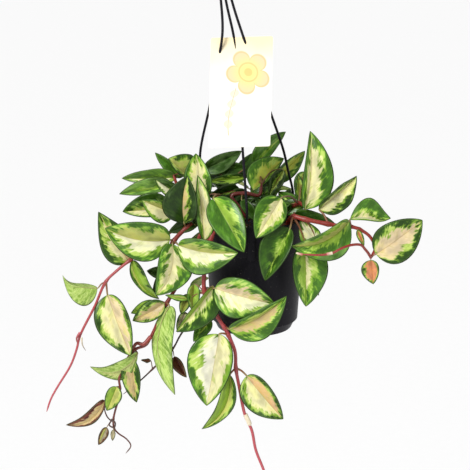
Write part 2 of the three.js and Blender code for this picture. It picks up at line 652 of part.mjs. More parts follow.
// The clip is a flat strap down the collar's outside that hooks under its lower edge
function clip(name) {
  const { angle } = clipStart(name);
  const outer = pot.rimRadius + clearance;
  const low = -pot.collarHeight - clearance - leg.clipThick;
  const shape = new THREE.Shape([
    [outer, leg.clipRise], [outer + leg.clipThick, leg.clipRise], [outer + leg.clipThick, low],
    [outer - leg.clipLip, low], [outer - leg.clipLip, low + leg.clipThick],
    [outer - 0.2, low + leg.clipThick],
  ].map(([x, y]) => new THREE.Vector2(x, y)));
  return new THREE.ExtrudeGeometry(shape, { depth: leg.clipWidth, bevelEnabled: false })
    .translate(0, 0, -leg.clipWidth / 2)
    .rotateX(Math.PI / 2)
    .rotateZ(angle)
    .translate(pot.across, 0, potTop);
}

function legSolid(name) {
  return fuse([legRod(name, leg.radius, 6), clip(name)]);
}

// The hook's bar rises from the hub, turns out and goes over the crown
function hookSolid() {
  const centre = -hook.innerRadius;
  const barCircle = hook.innerRadius + hook.barRadius;
  const steps = 12;
  const route = [[0, hook.hubTop - 4], [0, hook.hubTop + 4], [4, hook.hubTop + 10], [11, centre - 12]];
  for (let k = 0; k <= steps; k += 1) {
    const angle = THREE.MathUtils.degToRad(hook.startAngle + (hook.openAngle * k) / steps);
    route.push([barCircle * Math.cos(angle), centre + barCircle * Math.sin(angle)]);
  }
  const [endX, endZ] = route.at(-1);
  route.push([endX - 2, endZ - 6]);
  const path = route.map(([x, z]) => new THREE.Vector3(x, 0, z));
  const radii = path.map((_, i) => (i === path.length - 1 ? hook.tipRadius : hook.barRadius));
  const bar = tube(path, radii, 8, hook.squash, new THREE.Vector3(0, 1, 0));
  const hub = lathe([
    [0, hook.hubTop - hook.hubHeight], [hook.hubRadius - 1, hook.hubTop - hook.hubHeight],
    [hook.hubRadius, hook.hubTop - hook.hubHeight + 1.5], [hook.hubRadius, hook.hubTop - 6],
    [hook.hubRadius - 4, hook.hubTop], [0, hook.hubTop],
  ], 16);
  let solid = fuse([bar, hub]);
  Object.keys(legRoutes).forEach((name) => {
    const [inHub, below] = legPath(name);
    inHub.z += clearance;
    const socket = rod(leg.radius + 1.5 * clearance, inHub, below, 8);
    solid = solid.subtract(toManifold(socket));
  });
  return solid;
}

// The card leans on the front leg, and the three legs pass through slits near its top
const cardTop = seen([8.4, 237.5, 18]);
const cardFoot = seen([5, 106, 51]);

function cardSolid() {
  const down = cardFoot.clone().sub(cardTop).normalize();
  const across = new THREE.Vector3(1, 0, card.twist).normalize();
  const out = down.clone().cross(across).normalize();
  const corners = [[-0.5, 0], [0.5, 0], [0.5, 1], [-0.5, 1]];
  const corner = ([x, y], side) => cardTop.clone()
    .addScaledVector(across, x * card.width)
    .addScaledVector(down, y * card.height)
    .addScaledVector(out, side * card.thickness * 0.5);
  const points = [1, -1].flatMap((side) => corners.map((place) => corner(place, side)));
  const faces = [[0, 2, 1], [0, 3, 2], [4, 5, 6], [4, 6, 7]];
  for (let k = 0; k < 4; k += 1) {
    const next = (k + 1) % 4;
    faces.push([k, next, next + 4], [k, next + 4, k + 4]);
  }
  let solid = toManifold(facesOf(points, faces));
  Object.keys(legRoutes).forEach((name) => {
    solid = solid.subtract(toManifold(legRod(name, leg.radius + leg.slitClearance, 6)));
  });
  return solid;
}

function named(name, solid, material) {
  const mesh = new THREE.Mesh(toGeometry(solid), material);
  mesh.name = name;
  return mesh;
}

const plant = new THREE.Group();
plant.add(named('pot', potSolid(), colours.plastic));
plant.add(named('soil', soilSolid(), colours.soil));
plant.add(named('hanger_hook', hookSolid(), colours.plastic));
Object.keys(legRoutes).forEach((name) => plant.add(named(name, legSolid(name), colours.plastic)));
plant.add(named('plant_card', cardSolid(), colours.card));
Object.entries(vines).forEach(([name, plan]) => plant.add(named(name, vine(plan), colours.leaf)));

export default plant;
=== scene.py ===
# Tricolor wax plant in a hanging pot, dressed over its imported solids. Metres, +Z up, the front faces -Y.
import bmesh
import bpy
import math
from mathutils import Matrix, Vector


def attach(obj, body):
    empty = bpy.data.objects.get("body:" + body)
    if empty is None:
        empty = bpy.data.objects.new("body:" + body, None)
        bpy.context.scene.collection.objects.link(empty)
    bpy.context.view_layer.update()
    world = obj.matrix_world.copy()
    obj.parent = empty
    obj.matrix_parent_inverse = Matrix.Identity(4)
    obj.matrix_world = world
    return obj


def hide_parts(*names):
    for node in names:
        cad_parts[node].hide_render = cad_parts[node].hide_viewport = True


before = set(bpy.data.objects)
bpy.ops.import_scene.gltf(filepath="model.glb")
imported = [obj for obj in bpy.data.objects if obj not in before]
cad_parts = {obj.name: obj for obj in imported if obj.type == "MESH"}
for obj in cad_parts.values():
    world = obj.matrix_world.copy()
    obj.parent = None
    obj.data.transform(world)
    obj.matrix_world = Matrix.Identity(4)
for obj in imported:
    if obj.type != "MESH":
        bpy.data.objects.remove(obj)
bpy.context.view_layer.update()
mm = 0.001

# the view that the stems and leaves were set out in, where the camera stands too, in millimetres
view = {"aim": Vector((18, 0, -397)), "tilt": math.radians(15), "distance": 1700, "width": 564, "sensor": 36}
upward = Vector((0, math.sin(view["tilt"]), math.cos(view["tilt"])))
eye = view["aim"] + Vector((0, -math.cos(view["tilt"]), math.sin(view["tilt"]))) * view["distance"]


def seen(place):
    # a point given as across, up and in front of the pot's axis, as the front shows it
    across, up, front = place
    ray = view["aim"] + upward * up + Vector((across, 0, 0)) - eye
    return eye + ray * ((-front - eye.y) / ray.y)


def drawer(seed):
    # a small seeded generator, so that every draw repeats
    state = [seed]

    def draw(low, high):
        state[0] = state[0] * 16807 % 2147483647
        return low + (high - low) * state[0] / 2147483647
    return draw


def around(angle, radius=1, height=0):
    # a point about the upright axis, at so many degrees from the right
    turn = math.radians(angle)
    return Vector((radius * math.cos(turn), radius * math.sin(turn), height))


def blend(a, b, share):
    return tuple(x + (y - x) * share for x, y in zip(a, b))


def linear(code):
    # a colour as the nodes take it, from its hexadecimal code
    parts = [int(code[i:i + 2], 16) / 255 for i in (0, 2, 4)]
    return tuple(part / 12.92 if part <= 0.04045 else ((part + 0.055) / 1.055) ** 2.4 for part in parts)


def isVector(item):
    return isinstance(item, tuple) or (isinstance(item, Value) and item.socket.type in ("VECTOR", "RGBA"))


class Value:
    # a socket, so that maths on it is written as an expression
    def __init__(self, board, socket):
        self.board = board
        self.socket = socket

    def combine(self, operation, first, second):
        if operation == "MULTIPLY" and isVector(first) != isVector(second):
            vector, number = (first, second) if isVector(first) else (second, first)
            inputs = {0: vector, "Scale": number}
            return self.board.node("ShaderNodeVectorMath", {"operation": "SCALE"}, inputs)
        kind = "ShaderNodeVectorMath" if isVector(first) or isVector(second) else "ShaderNodeMath"
        return self.board.node(kind, {"operation": operation}, {0: first, 1: second})

    def __add__(self, other):
        return self.combine("ADD", self, other)

    def __radd__(self, other):
        return self.combine("ADD", other, self)

    def __sub__(self, other):
        return self.combine("SUBTRACT", self, other)

    def __rsub__(self, other):
        return self.combine("SUBTRACT", other, self)

    def __mul__(self, other):
        return self.combine("MULTIPLY", self, other)

    def __rmul__(self, other):
        return self.combine("MULTIPLY", other, self)

    def __pow__(self, other):
        return self.combine("POWER", self, other)

    def __neg__(self):
        return self * -1


class Board:
    # a node tree, with one method that makes any of its nodes
    def __init__(self, tree):
        self.tree = tree

    def node(self, kind, settings=None, inputs=None, out=0):
        made = self.tree.nodes.new(kind)
        for name, value in (settings or {}).items():
            setattr(made, name, value)
        for key, value in (inputs or {}).items():
            if isinstance(key, str):
                key = next(i for i, socket in enumerate(made.inputs) if socket.enabled and socket.name == key)
            self.plug(made.inputs[key], value)
        if out is None:
            return made
        if isinstance(out, str):
            return Value(self, made.outputs[out])
        return Value(self, [socket for socket in made.outputs if socket.enabled][out])

    def plug(self, socket, value):
        for item in value if isinstance(value, list) else [value]:
            if isinstance(item, Value):
                self.tree.links.new(item.socket, socket)
            elif socket.type == "RGBA" and len(item) == 3:
                socket.default_value = (*item, 1)
            else:
                socket.default_value = item

    def maths(self, operation, a, b=0.0):
        return self.node("ShaderNodeMath", {"operation": operation}, {0: a, 1: b})

    def absolute(self, a):
        return self.maths("ABSOLUTE", a)

    def sine(self, a):
        return self.maths("SINE", a)

    def above(self, a, limit):
        return self.maths("GREATER_THAN", a, limit)

    def smooth(self, a, low, high):
        # 0 below low and 1 above high, smooth between them
        return self.node("ShaderNodeMapRange", {"interpolation_type": "SMOOTHSTEP"}, {0: a, 1: low, 2: high})

    def line(self, a, place, width):
        # 1 where a is near the place, 0 further off than the width
        return 1 - self.smooth(self.absolute(a - place), width * 0.4, width)

    def length(self, a):
        return self.node("ShaderNodeVectorMath", {"operation": "LENGTH"}, {0: a}, "Value")

    def split(self, vector):
        made = self.node("ShaderNodeSeparateXYZ", None, {0: vector}, None)
        return [Value(self, socket) for socket in made.outputs]

    def join(self, x, y, z):
        return self.node("ShaderNodeCombineXYZ", None, {0: x, 1: y, 2: z})

    def mix(self, share, a, b):
        return self.node("ShaderNodeMix", {"data_type": "RGBA"}, {0: share, 6: a, 7: b})

    def noise(self, place, scale, detail=2.0, roughness=0.5):
        inputs = {"Vector": place, "Scale": scale, "Detail": detail, "Roughness": roughness}
        return self.node("ShaderNodeTexNoise", None, inputs)

    def bump(self, height, strength, distance):
        inputs = {"Height": height, "Strength": strength, "Distance": distance * mm}
        return self.node("ShaderNodeBump", None, inputs)

    def read(self, name):
        # a vector that the mesh carries
        if self.tree.type == "SHADER":
            return self.node("ShaderNodeAttribute", {"attribute_name": name}, None, "Vector")
        return self.node("GeometryNodeInputNamedAttribute", {"data_type": "FLOAT_VECTOR"}, {"Name": name})

    def place(self):
        return self.node("ShaderNodeTexCoord", None, None, "Object")


def newMaterial(name, constants, paint):
    # a material whose shader has these constants; paint gives what changes over the surface
    made = bpy.data.materials.new(name)
    made.use_nodes = True
    board = Board(made.node_tree)
    board.tree.nodes.clear()
    shader = board.node("ShaderNodeBsdfPrincipled", None, constants, None)
    board.node("ShaderNodeOutputMaterial", None, {"Surface": Value(board, shader.outputs[0])}, None)
    for socket, value in paint(board).items():
        board.plug(shader.inputs[socket], value)
    return made


def newTree(name, sizes):
    # a geometry tree with its board, its incoming geometry and its named sizes
    tree = bpy.data.node_groups.new(name, "GeometryNodeTree")
    tree.interface.new_socket("Geometry", in_out="INPUT", socket_type="NodeSocketGeometry")
    tree.interface.new_socket("Geometry", in_out="OUTPUT", socket_type="NodeSocketGeometry")
    for label, value in sizes.items():
        kind = "NodeSocketInt" if isinstance(value, int) else "NodeSocketFloat"
        tree.interface.new_socket(label, in_out="INPUT", socket_type=kind).default_value = value
    board = Board(tree)
    entry = board.node("NodeGroupInput", out=None)
    return board, {socket.name: Value(board, socket) for socket in entry.outputs if socket.name}


def closeTree(board, geometry, material, others=()):
    # every tree ends the same way: instances made real, then the materials set
    solid = board.node("GeometryNodeRealizeInstances", None, {"Geometry": geometry})
    solid = board.node("GeometryNodeSetMaterial", None, {"Geometry": solid, "Material": material})
    for name, other in others:
        chosen = board.node("GeometryNodeInputNamedAttribute", {"data_type": "BOOLEAN"}, {"Name": name})
        inputs = {"Geometry": solid, "Selection": chosen, "Material": other}
        solid = board.node("GeometryNodeSetMaterial", None, inputs)
    board.node("NodeGroupOutput", None, {"Geometry": solid}, None)


def grow(name, mesh, tree, sizes, spare=()):
    # runs a tree over a mesh and keeps the result as a plain mesh, without the spare attributes
    piece = bpy.data.objects.new(name, mesh)
    bpy.context.scene.collection.objects.link(piece)
    modifier = piece.modifiers.new("grow", "NODES")
    modifier.node_group = tree
    for item in tree.interface.items_tree:
        if item.in_out == "INPUT" and item.name in sizes:
            modifier[item.identifier] = sizes[item.name]
    depsgraph = bpy.context.evaluated_depsgraph_get()
    grown = bpy.data.meshes.new_from_object(piece.evaluated_get(depsgraph))
    piece.modifiers.remove(modifier)
    piece.data = grown
    for spent in spare:
        grown.attributes.remove(grown.attributes[spent])
    return piece


def settle(pieces, node=None):
    # every piece rides on the one body and, where it has a node, takes its place
    for piece in pieces:
        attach(piece, "root")
        if node:
            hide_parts(node)


def newPiece(name, shape, material, sharp=35):
    # a bmesh as a finished piece, smooth except at its edges
    mesh = bpy.data.meshes.new(name)
    bmesh.ops.remove_doubles(shape, verts=shape.verts, dist=1e-6)
    bmesh.ops.recalc_face_normals(shape, faces=shape.faces)
    shape.to_mesh(mesh)
    shape.free()
    mesh.shade_smooth()
    mesh.set_sharp_from_angle(angle=math.radians(sharp))
    mesh.materials.append(material)
    piece = bpy.data.objects.new(name, mesh)
    bpy.context.scene.collection.objects.link(piece)
    return piece


def roundedProfile(corners, radius, steps=4):
    # a profile whose inner corners are rounded
    points = [Vector(corners[0])]
    for before, corner, after in zip(corners, corners[1:], corners[2:]):
        before, corner, after = Vector(before), Vector(corner), Vector(after)
        cuts = [min(radius, 0.45 * (end - corner).length) for end in (before, after)]
        start = corner + (before - corner).normalized() * cuts[0]
        end = corner + (after - corner).normalized() * cuts[1]
        for i in range(steps + 1):
            share = i / steps
            points.append(start.lerp(corner, share).lerp(corner.lerp(end, share), share))
    return points + [Vector(corners[-1])]


def latheShape(profile, segments, centre):
    # a closed turned shape about an upright axis, from (radius, height) in millimetres
    shape = bmesh.new()
    rings = []
    for radius, height in profile:
        count = segments if radius > 0 else 1
        places = [centre + around(360 * k / segments, radius, height) for k in range(count)]
        rings.append([shape.verts.new(place * mm) for place in places])
    for low, high in zip(rings, rings[1:]):
        for k in range(segments):
            sides = ((low, k), (low, k + 1), (high, k + 1), (high, k))
            corners = list(dict.fromkeys(ring[i % len(ring)] for ring, i in sides))
            if len(corners) > 2:
                shape.faces.new(corners)
    return shape


def smoothPath(points, perSpan):
    # a centripetal curve through the points; every point is on it, perSpan steps apart
    ends = [points[0] * 2 - points[1], *points, points[-1] * 2 - points[-2]]
    path = []
    for p0, p1, p2, p3 in zip(ends, ends[1:], ends[2:], ends[3:]):
        d0, d1, d2 = [max((b - a).length, 1e-4) ** 0.5 for a, b in ((p0, p1), (p1, p2), (p2, p3))]
        leave = ((p1 - p0) / d0 - (p2 - p0) / (d0 + d1) + (p2 - p1) / d1) * d1
        arrive = ((p2 - p1) / d1 - (p3 - p1) / (d1 + d2) + (p3 - p2) / d2) * d1
        for i in range(perSpan):
            t = i / perSpan
            bend = p1 * -3 + p2 * 3 - leave * 2 - arrive
            turn = p1 * 2 - p2 * 2 + leave + arrive
            path.append(p1 + leave * t + bend * t * t + turn * t ** 3)
    return path + [points[-1].copy()]


# tan and khaki are partly the leaves' own colour, partly painted shade on the half of a leaf folded away from
# the light
colours = {
    "white": "ebe9d2", "ivory": "e4e4bc", "cream": "e0dba8", "tan": "c6b080", "apricot": "d2ae82",
    "blush": "dac6a0", "khaki": "b6ba68", "citron": "b6be4c", "lime": "8aac3e", "olive": "848a3c",
    "salmon": "d08a62", "grey": "9c9278", "umber": "5a2c22", "pale": "6c9846", "mid": "50822a",
    "dark": "365c1a", "forest": "2a4616", "red": "86221c", "rose": "ae4a54", "maroon": "4c1412",
    "brown": "4c2c25", "bark": "3a2420", "straw": "d8ccb0", "stalk": "96985a", "scar": "6a2c22",
    "wine": "561412", "petiole": "6e5030",
}
leafTable = {
    "widest": 0.37, "scale": 2.435, "base": 0.5, "tip": 0.85, "arch": 0.05, "fullness": 0.12, "curl": 6,
}


def leafAt(at, base, tip, left, right, looks, covers, bow=0, hook=(0, 0, 0), under=False):
    # a leaf at a point of its stem's route, as the front shows it. Each margin is its width and how far
    # it stands in front. The looks are the left and right halves' and the margin's colour, the covers how
    # much of each half they fill and how patchy they are. Bow carries the midrib sideways, hook turns
    # the tip away and under shows the back
    run = Vector((tip[0] - base[0], tip[1] - base[1]))
    beside = Vector((-run.y, run.x)).normalized()
    middle = [low + (high - low) * leafTable["widest"] for low, high in zip(base, tip)]

    def shifted(width, lift):
        return seen((middle[0] + beside.x * width, middle[1] + beside.y * width, middle[2] + lift))
    foot, heart = seen(base), seen(middle)
    along = seen(tip) - foot
    edges = [shifted(*left) - heart, shifted(-right[0], right[1]) - heart]
    facing = along.cross(edges[0] - edges[1]).normalized()
    looks = looks.split()
    if under:
        facing = -facing
        edges.reverse()
        looks = [looks[1], looks[0], looks[2]]
        covers = (covers[1], covers[0], covers[2])
    sway = shifted(bow, 0) - heart + facing * (leafTable["arch"] * along.length)
    turned = seen([value + turn for value, turn in zip(tip, hook)]) - seen(tip)
    return newLeaf(at, foot, along, edges, facing, sway, turned, looks, covers)


def grownLeaf(at, foot, towards, facing, length, width, fold, looks, covers):
    # a leaf that grows at a point, towards a direction and facing another
    along = towards.normalized() * length
    face = (facing - along * (facing.dot(along) / along.length_squared)).normalized()
    leftwards = face.cross(along).normalized()
    edges = [leftwards * (side * width / 2) + face * fold for side in (1, -1)]
    return newLeaf(at, foot, along, edges, face, face * (0.08 * length), Vector((0, 0, 0)), looks, covers)


def newLeaf(at, foot, along, edges, facing, sway, hook, looks, covers):
    return {
        "at": at, "foot": foot, "along": along, "left": edges[0], "right": edges[1], "facing": facing,
        "sway": sway, "hook": hook, "looks": [linear(colours[name]) for name in looks], "covers": covers,
    }


vines = {}
vines["vine_left_long"] = {
    "root": (-45, 6), "girth": (2.2, 1.1), "bark": ("red", "rose"),
    "route": [
        (-37, 27, 15), (-84, -1, 30), (-114, -22, 38), (-127, -31, 42), (-142, -43, 46), (-155, -56, 50),
        (-168, -85, 50), (-186, -121, 48), (-190, -137, 47), (-197, -156, 46), (-214, -184, 44),
        (-221, -197, 43), (-226, -212, 42),
    ],
    "leaves": [
        leafAt(3, (-127, -33, 38), (-160, 19, 40), (21, 8), (20, 4),
               "cream tan dark", (0.52, 0.6, 0.3), hook=(-4, 9, 0)),
        leafAt(3, (-124, -31, 38), (-91, -77, 40), (11, 12), (6, 4),
               "lime khaki dark", (0.78, 0.5, 0.2), bow=-6),
        leafAt(5, (-165, -64, 50), (-208, -61, 54), (22, -4), (5, -16),
               "lime lime mid", (0.7, 0.66, 0.3), hook=(1, 13, 0), under=True),
        leafAt(5, (-153, -72, 54), (-125, -145, 65), (16, 6), (26, 6), "blush cream dark", (0.8, 0.66, 0.2)),
    ],
}
vines["vine_left_crown"] = {
    "root": (-40, 18), "girth": (3, 2.4), "bark": ("maroon", "red"),
    "route": [(-33, 25, 27), (-59, 8, 38), (-74, -8, 47), (-79, -18, 46)],
    "leaves": [
        leafAt(2, (-78, -6, 52), (-156, 8, 68), (26, 8), (23, 14),
               "ivory khaki mid", (0.58, 0.66, 0.1), bow=5),
        leafAt(2, (-68, -12, 54), (4, -21, 80), (15, 16), (28, 8),
               "khaki ivory mid", (0.54, 0.62, 0.1), bow=-3),
        leafAt(2, (-75, -11, 53), (-95, -73, 52), (25, 4), (18, 8),
               "cream cream mid", (0.52, 0.54, 0.3), bow=8),
        leafAt(1, (-61, 14, 44), (-57, 71, 56), (25, 6), (18, 12), "khaki tan forest", (0, 0.42, 0.1), bow=3),
        leafAt(0, (-48, 12, 36), (-56, 64, 40), (6, 4), (8, 4), "lime lime forest", (0, 0, 0.2)),
        leafAt(0, (-42, 20, 30), (-80, 3, 42), (9, 4), (10, 4), "lime lime forest", (0, 0, 0.2)),
    ],
}
vines["vine_lower_left"] = {
    "root": (-32, 31), "girth": (2.6, 0.7), "bark": ("red", "brown"),
    "route": [
        (-27, 20, 38), (-50, -18, 40), (-64, -52, 40), (-82, -82, 44), (-94, -108, 46), (-102, -124, 47),
        (-107, -132, 48), (-121, -138, 49), (-134, -158, 49), (-139, -173, 49), (-138, -184, 49),
        (-141, -200, 49), (-146, -222, 49), (-145, -232, 49), (-140, -238, 49), (-130, -245, 49),
        (-125, -253, 49), (-131, -262, 49),
    ],
    "leaves": [
        leafAt(2, (-76, -48, 28), (-106, -43, 28), (8, 4), (9, 4), "olive olive forest", (0, 0, 0.2)),
        leafAt(2, (-88, -44, 30), (-99, -72, 30), (4, 2), (4, 2), "olive olive forest", (0, 0, 0.2)),
        leafAt(3, (-79, -85, 54), (-72, -192, 62), (19, 6), (8, -8),
               "lime lime mid", (0.62, 0.5, 0.2), bow=-20, under=True),
        leafAt(3, (-85, -82, 48), (-123, -103, 44), (12, 5), (12, 5), "tan tan dark", (0.8, 0.55, 0.2)),
        leafAt(3, (-96, -80, 38), (-125, -94, 34), (7, 3), (7, 3), "lime lime mid", (1, 1, 0.1)),
        leafAt(7, (-117, -142, 52), (-174, -158, 58), (12, -5), (10, 6),
               "tan lime dark", (0.6, 0.7, 0.4), bow=16, under=True),
        leafAt(7, (-125, -148, 44), (-118, -201, 44), (9, 5), (14, 5), "tan tan dark", (0.4, 0.66, 0.1)),
        leafAt(10, (-142, -182, 54), (-154, -211, 56), (11, 3), (9, 3), "khaki lime dark", (0.8, 0.85, 0.1)),
        leafAt(11, (-156, -199, 48), (-203, -228, 48), (6, 3), (10, 4),
               "tan tan umber", (0.6, 0.72, 0.2), bow=9),
        leafAt(12, (-154, -231, 48), (-164, -252, 48), (6, 2), (5, 2), "grey khaki umber", (0.7, 0.7, 0)),
        leafAt(13, (-146, -234, 54), (-147, -247, 55), (3, 1), (3, 1), "grey grey grey", (1, 1, 0)),
    ],
}
vines["vine_front"] = {
    "root": (-18, 42), "girth": (2.9, 1.6), "bark": ("red", "rose"),
    "route": [
        (-17, 17, 49), (-30, -8, 54), (-37, -46, 54), (-36, -70, 56), (-23, -95, 56), (-12, -112, 57),
        (-8, -120, 57), (0, -140, 58), (1, -160, 58), (5, -182, 58), (12, -216, 58), (20, -234, 58),
        (25, -258, 58), (34, -281, 58), (38, -294, 58),
    ],
    "leaves": [
        leafAt(1, (-37, -6, 54), (-45, 72, 38), (7, 6), (15, 2), "cream cream mid", (0.4, 0.8, 0.2)),
        leafAt(3, (-24, -64, 66), (48, -83, 82), (21, 8), (28, 6), "blush ivory mid", (0.56, 0.64, 0.25)),
        leafAt(3, (-26, -62, 62), (-71, -116, 64), (25, 4), (5, 10), "cream lime dark", (0.3, 1, 0.3)),
        leafAt(3, (-49, -59, 50), (-51, -91, 48), (8, 4), (8, 4), "lime olive mid", (0.8, 0.7, 0.3)),
        leafAt(3, (-56, -71, 46), (-65, -95, 46), (7, 3), (7, 3), "olive olive forest", (0.75, 0.7, 0.2)),
        leafAt(3, (-56, -77, 51), (-84, -72, 53), (4, 2), (4, 2), "lime khaki mid", (0.9, 0.9, 0)),
        leafAt(4, (-30, -100, 48), (-50, -128, 50), (9, 4), (9, 4), "lime lime mid", (0.15, 0.1, 0.3)),
        leafAt(5, (-7, -113, 64), (62, -73, 86), (9, 14), (26, 6),
               "khaki tan mid", (0.46, 0.56, 0.3), bow=-4),
        leafAt(6, (-19, -119, 62), (-34, -205, 66), (22, 5), (33, 5), "cream white mid", (0.86, 0.62, 0.3)),
        leafAt(8, (-6, -168, 60), (-40, -233, 60), (10, 6), (11, 10),
               "khaki lime dark", (0.55, 0.92, 0.2), bow=11),
        leafAt(8, (14, -169, 62), (58, -221, 66), (14, 6), (24, 6), "apricot cream dark", (0.7, 0.66, 0.2)),
    ],
    "shoots": [{
        "at": 3, "girth": (1.3, 0.8), "bark": ("bark", "bark"),
        "route": [
            (-52, -100, 44), (-66, -121, 35), (-75, -137, 33), (-99, -161, 32), (-114, -175, 32),
            (-134, -191, 32),
        ],
        "leaves": [
            leafAt(0, (-60, -93, 44), (-69, -117, 40), (6, 4), (6, 4), "grey grey forest", (0.7, 0.7, 0.2)),
            leafAt(2, (-73, -146, 34), (-58, -171, 36), (5, 3), (8, 3), "umber umber umber", (0.9, 0.9, 0)),
            leafAt(3, (-101, -151, 34), (-113, -150, 34), (2.5, 1), (2.5, 1),
                   "umber umber umber", (0.9, 0.9, 0)),
        ],
    }],
}
vines["vine_right"] = {
    "root": (38, 30), "girth": (3, 1.6), "bark": ("red", "red"),
    "route": [
        (70, 22, 44), (83, 19, 50), (112, 13, 53), (126, 11, 54), (139, 10, 54), (149, 7, 54), (162, -2, 54),
        (168, -16, 54), (163, -27, 54),
    ],
    "leaves": [
        leafAt(0, (66, 8, 62), (36, -55, 78), (12, 12), (25, 4), "lime lime dark", (0.2, 0.08, 0.1)),
        leafAt(0, (84, -10, 48), (85, -86, 52), (27, 5), (16, 8), "cream lime mid", (0.36, 0.46, 0.5)),
        leafAt(1, (100, -12, 44), (79, 18, 40), (15, 4), (11, 4), "ivory ivory mid", (0.75, 0.7, 0.1)),
        leafAt(2, (101, 31, 42), (146, 71, 36), (7, 14), (20, 6), "cream cream dark", (0.45, 0.66, 0.2)),
        leafAt(4, (137, 17, 60), (67, -13, 70), (27, 6), (11, 14),
               "lime khaki mid", (0.32, 0.72, 0.2), bow=9),
        leafAt(4, (138, 19, 55), (180, 8, 60), (24, 4), (4, 12),
               "cream ivory mid", (0.3, 0.7, 0.2), bow=7, hook=(7, 12, 2)),
        leafAt(5, (147, 6, 58), (155, -13, 59), (4, 3), (4, 3), "salmon salmon mid", (0.8, 0.9, 0.1)),
        leafAt(8, (169, -23, 55), (225, 18, 60), (24, 4), (27, 4), "blush blush dark", (0.56, 0.6, 0.15)),
        leafAt(8, (163, -30, 56), (166, -59, 58), (9, 3), (13, 3), "salmon salmon dark", (0.78, 0.7, 0.1)),
        leafAt(0, (72, 26, 22), (120, 14, 24), (9, 4), (5, 4), "lime lime dark", (0, 0, 0.2)),
    ],
    "shoots": [{
        "at": 8, "girth": (1.8, 1.2), "bark": ("red", "red"),
        "route": [
            (160, -22, 62), (156, -17, 68), (151, -12, 75), (140, -12, 84), (128, -16, 90), (116, -22, 92),
            (102, -24, 92), (80, -23, 90),
        ],
    }],
}
vines["shoot_front_left"] = {
    "root": (-14, 24), "girth": (2.6, 2), "bark": ("maroon", "red"),
    "route": [(-27, 32, 34), (-19, 48, 38)],
    "leaves": [
        leafAt(1, (-26, 44, 54), (11, -21, 92), (22, 4), (19, 8), "lime lime mid", (0.42, 0, 0.3)),
        leafAt(1, (-38, 44, 24), (-47, 98, 12), (20, 6), (14, 8), "cream cream mid", (0.6, 0.56, 0.1)),
    ],
}
vines["shoot_far_left"] = {
    "root": (-46, -12), "girth": (2.6, 1.8), "bark": ("maroon", "red"),
    "route": [(-36, 36, -2), (-54, 46, 0), (-68, 58, 2), (-74, 72, 0)],
    "leaves": [
        leafAt(1, (-78, 34, 16), (-135, 28, 22), (10, 8), (20, 8), "cream khaki dark", (0.75, 0.35, 0.3)),
        leafAt(1, (-72, 26, 30), (-112, 42, 36), (17, 6), (9, 8), "cream khaki mid", (0.82, 0.66, 0.1)),
        leafAt(2, (-70, 50, 20), (-96, 67, 24), (9, 6), (9, 6), "ivory lime dark", (0.8, 0.05, 0.1)),
        leafAt(2, (-76, 60, 8), (-139, 49, 12), (6, 6), (14, 6), "lime lime pale", (0.15, 0.1, 0.4)),
        leafAt(3, (-70, 69, -4), (-136, 68, -4), (8, 6), (12, 8), "ivory lime pale", (0.5, 0.1, 0.1)),
        leafAt(3, (-62, 70, -14), (-96, 99, -16), (9, 5), (6, 5), "lime lime mid", (0, 0, 0.3)),
        leafAt(3, (-57, 71, -6), (-80, 92, 2), (6, 4), (22, -6), "khaki khaki dark", (0.5, 0.55, 0.5)),
    ],
}
vines["shoot_back_left"] = {
    "root": (-22, -26), "girth": (2.4, 1.8), "bark": ("maroon", "maroon"),
    "route": [(-8, 50, -30), (-4, 62, -38)],
    "leaves": [
        leafAt(1, (-38, 78, -34), (8, 101, -50), (9, 6), (13, 6), "lime lime dark", (0, 0, 0.2)),
        leafAt(1, (-14, 66, -46), (-50, 76, -60), (12, 6), (12, 6), "lime lime forest", (0, 0, 0.2)),
        leafAt(0, (12, 69, -34), (-34, 64, -24), (7, 6), (7, 4), "lime lime dark", (0.6, 0.5, 0.3)),
        leafAt(0, (4, 56, -22), (-32, 46, -6), (9, 4), (9, 4), "umber umber forest", (0.3, 0, 0.2)),
        leafAt(1, (-2, 66, -56), (20, 98, -80), (7, 6), (12, 6), "lime lime dark", (0, 0, 0.2)),
        leafAt(1, (12, 80, -48), (-36, 80, -42), (8, 4), (8, 4), "lime lime dark", (0, 0, 0.2)),
        leafAt(0, (14, 52, -26), (-24, 40, -16), (8, 4), (8, 4), "umber umber forest", (0, 0.3, 0.2)),
    ],
}
vines["shoot_behind_card"] = {
    "root": (-8, -2), "girth": (2.8, 2), "bark": ("wine", "wine"), "tuck": 16,
    "route": [(-4, 47, -4), (13, 50, -8), (29, 48, -12), (32, 62, -22)],
    "leaves": [
        leafAt(3, (22, 54, -30), (59, 92, -54), (24, -4), (6, 4), "citron lime mid", (0.5, 0.6, 0.3)),
        leafAt(3, (46, 64, -38), (84, 101, -68), (8, 6), (12, 6), "citron citron mid", (0.62, 0.5, 0.4)),
        leafAt(3, (23, 83, -62), (61, 124, -86), (15, 6), (6, 6), "lime lime mid", (0.1, 0, 0.2)),
        leafAt(3, (58, 78, -26), (40, 46, -20), (8, 4), (9, 4), "olive umber forest", (0.3, 0.3, 0.3)),
        leafAt(1, (8, 42, 10), (30, 14, 18), (7, 4), (7, 4), "lime lime dark", (0, 0, 0.2)),
    ],
}
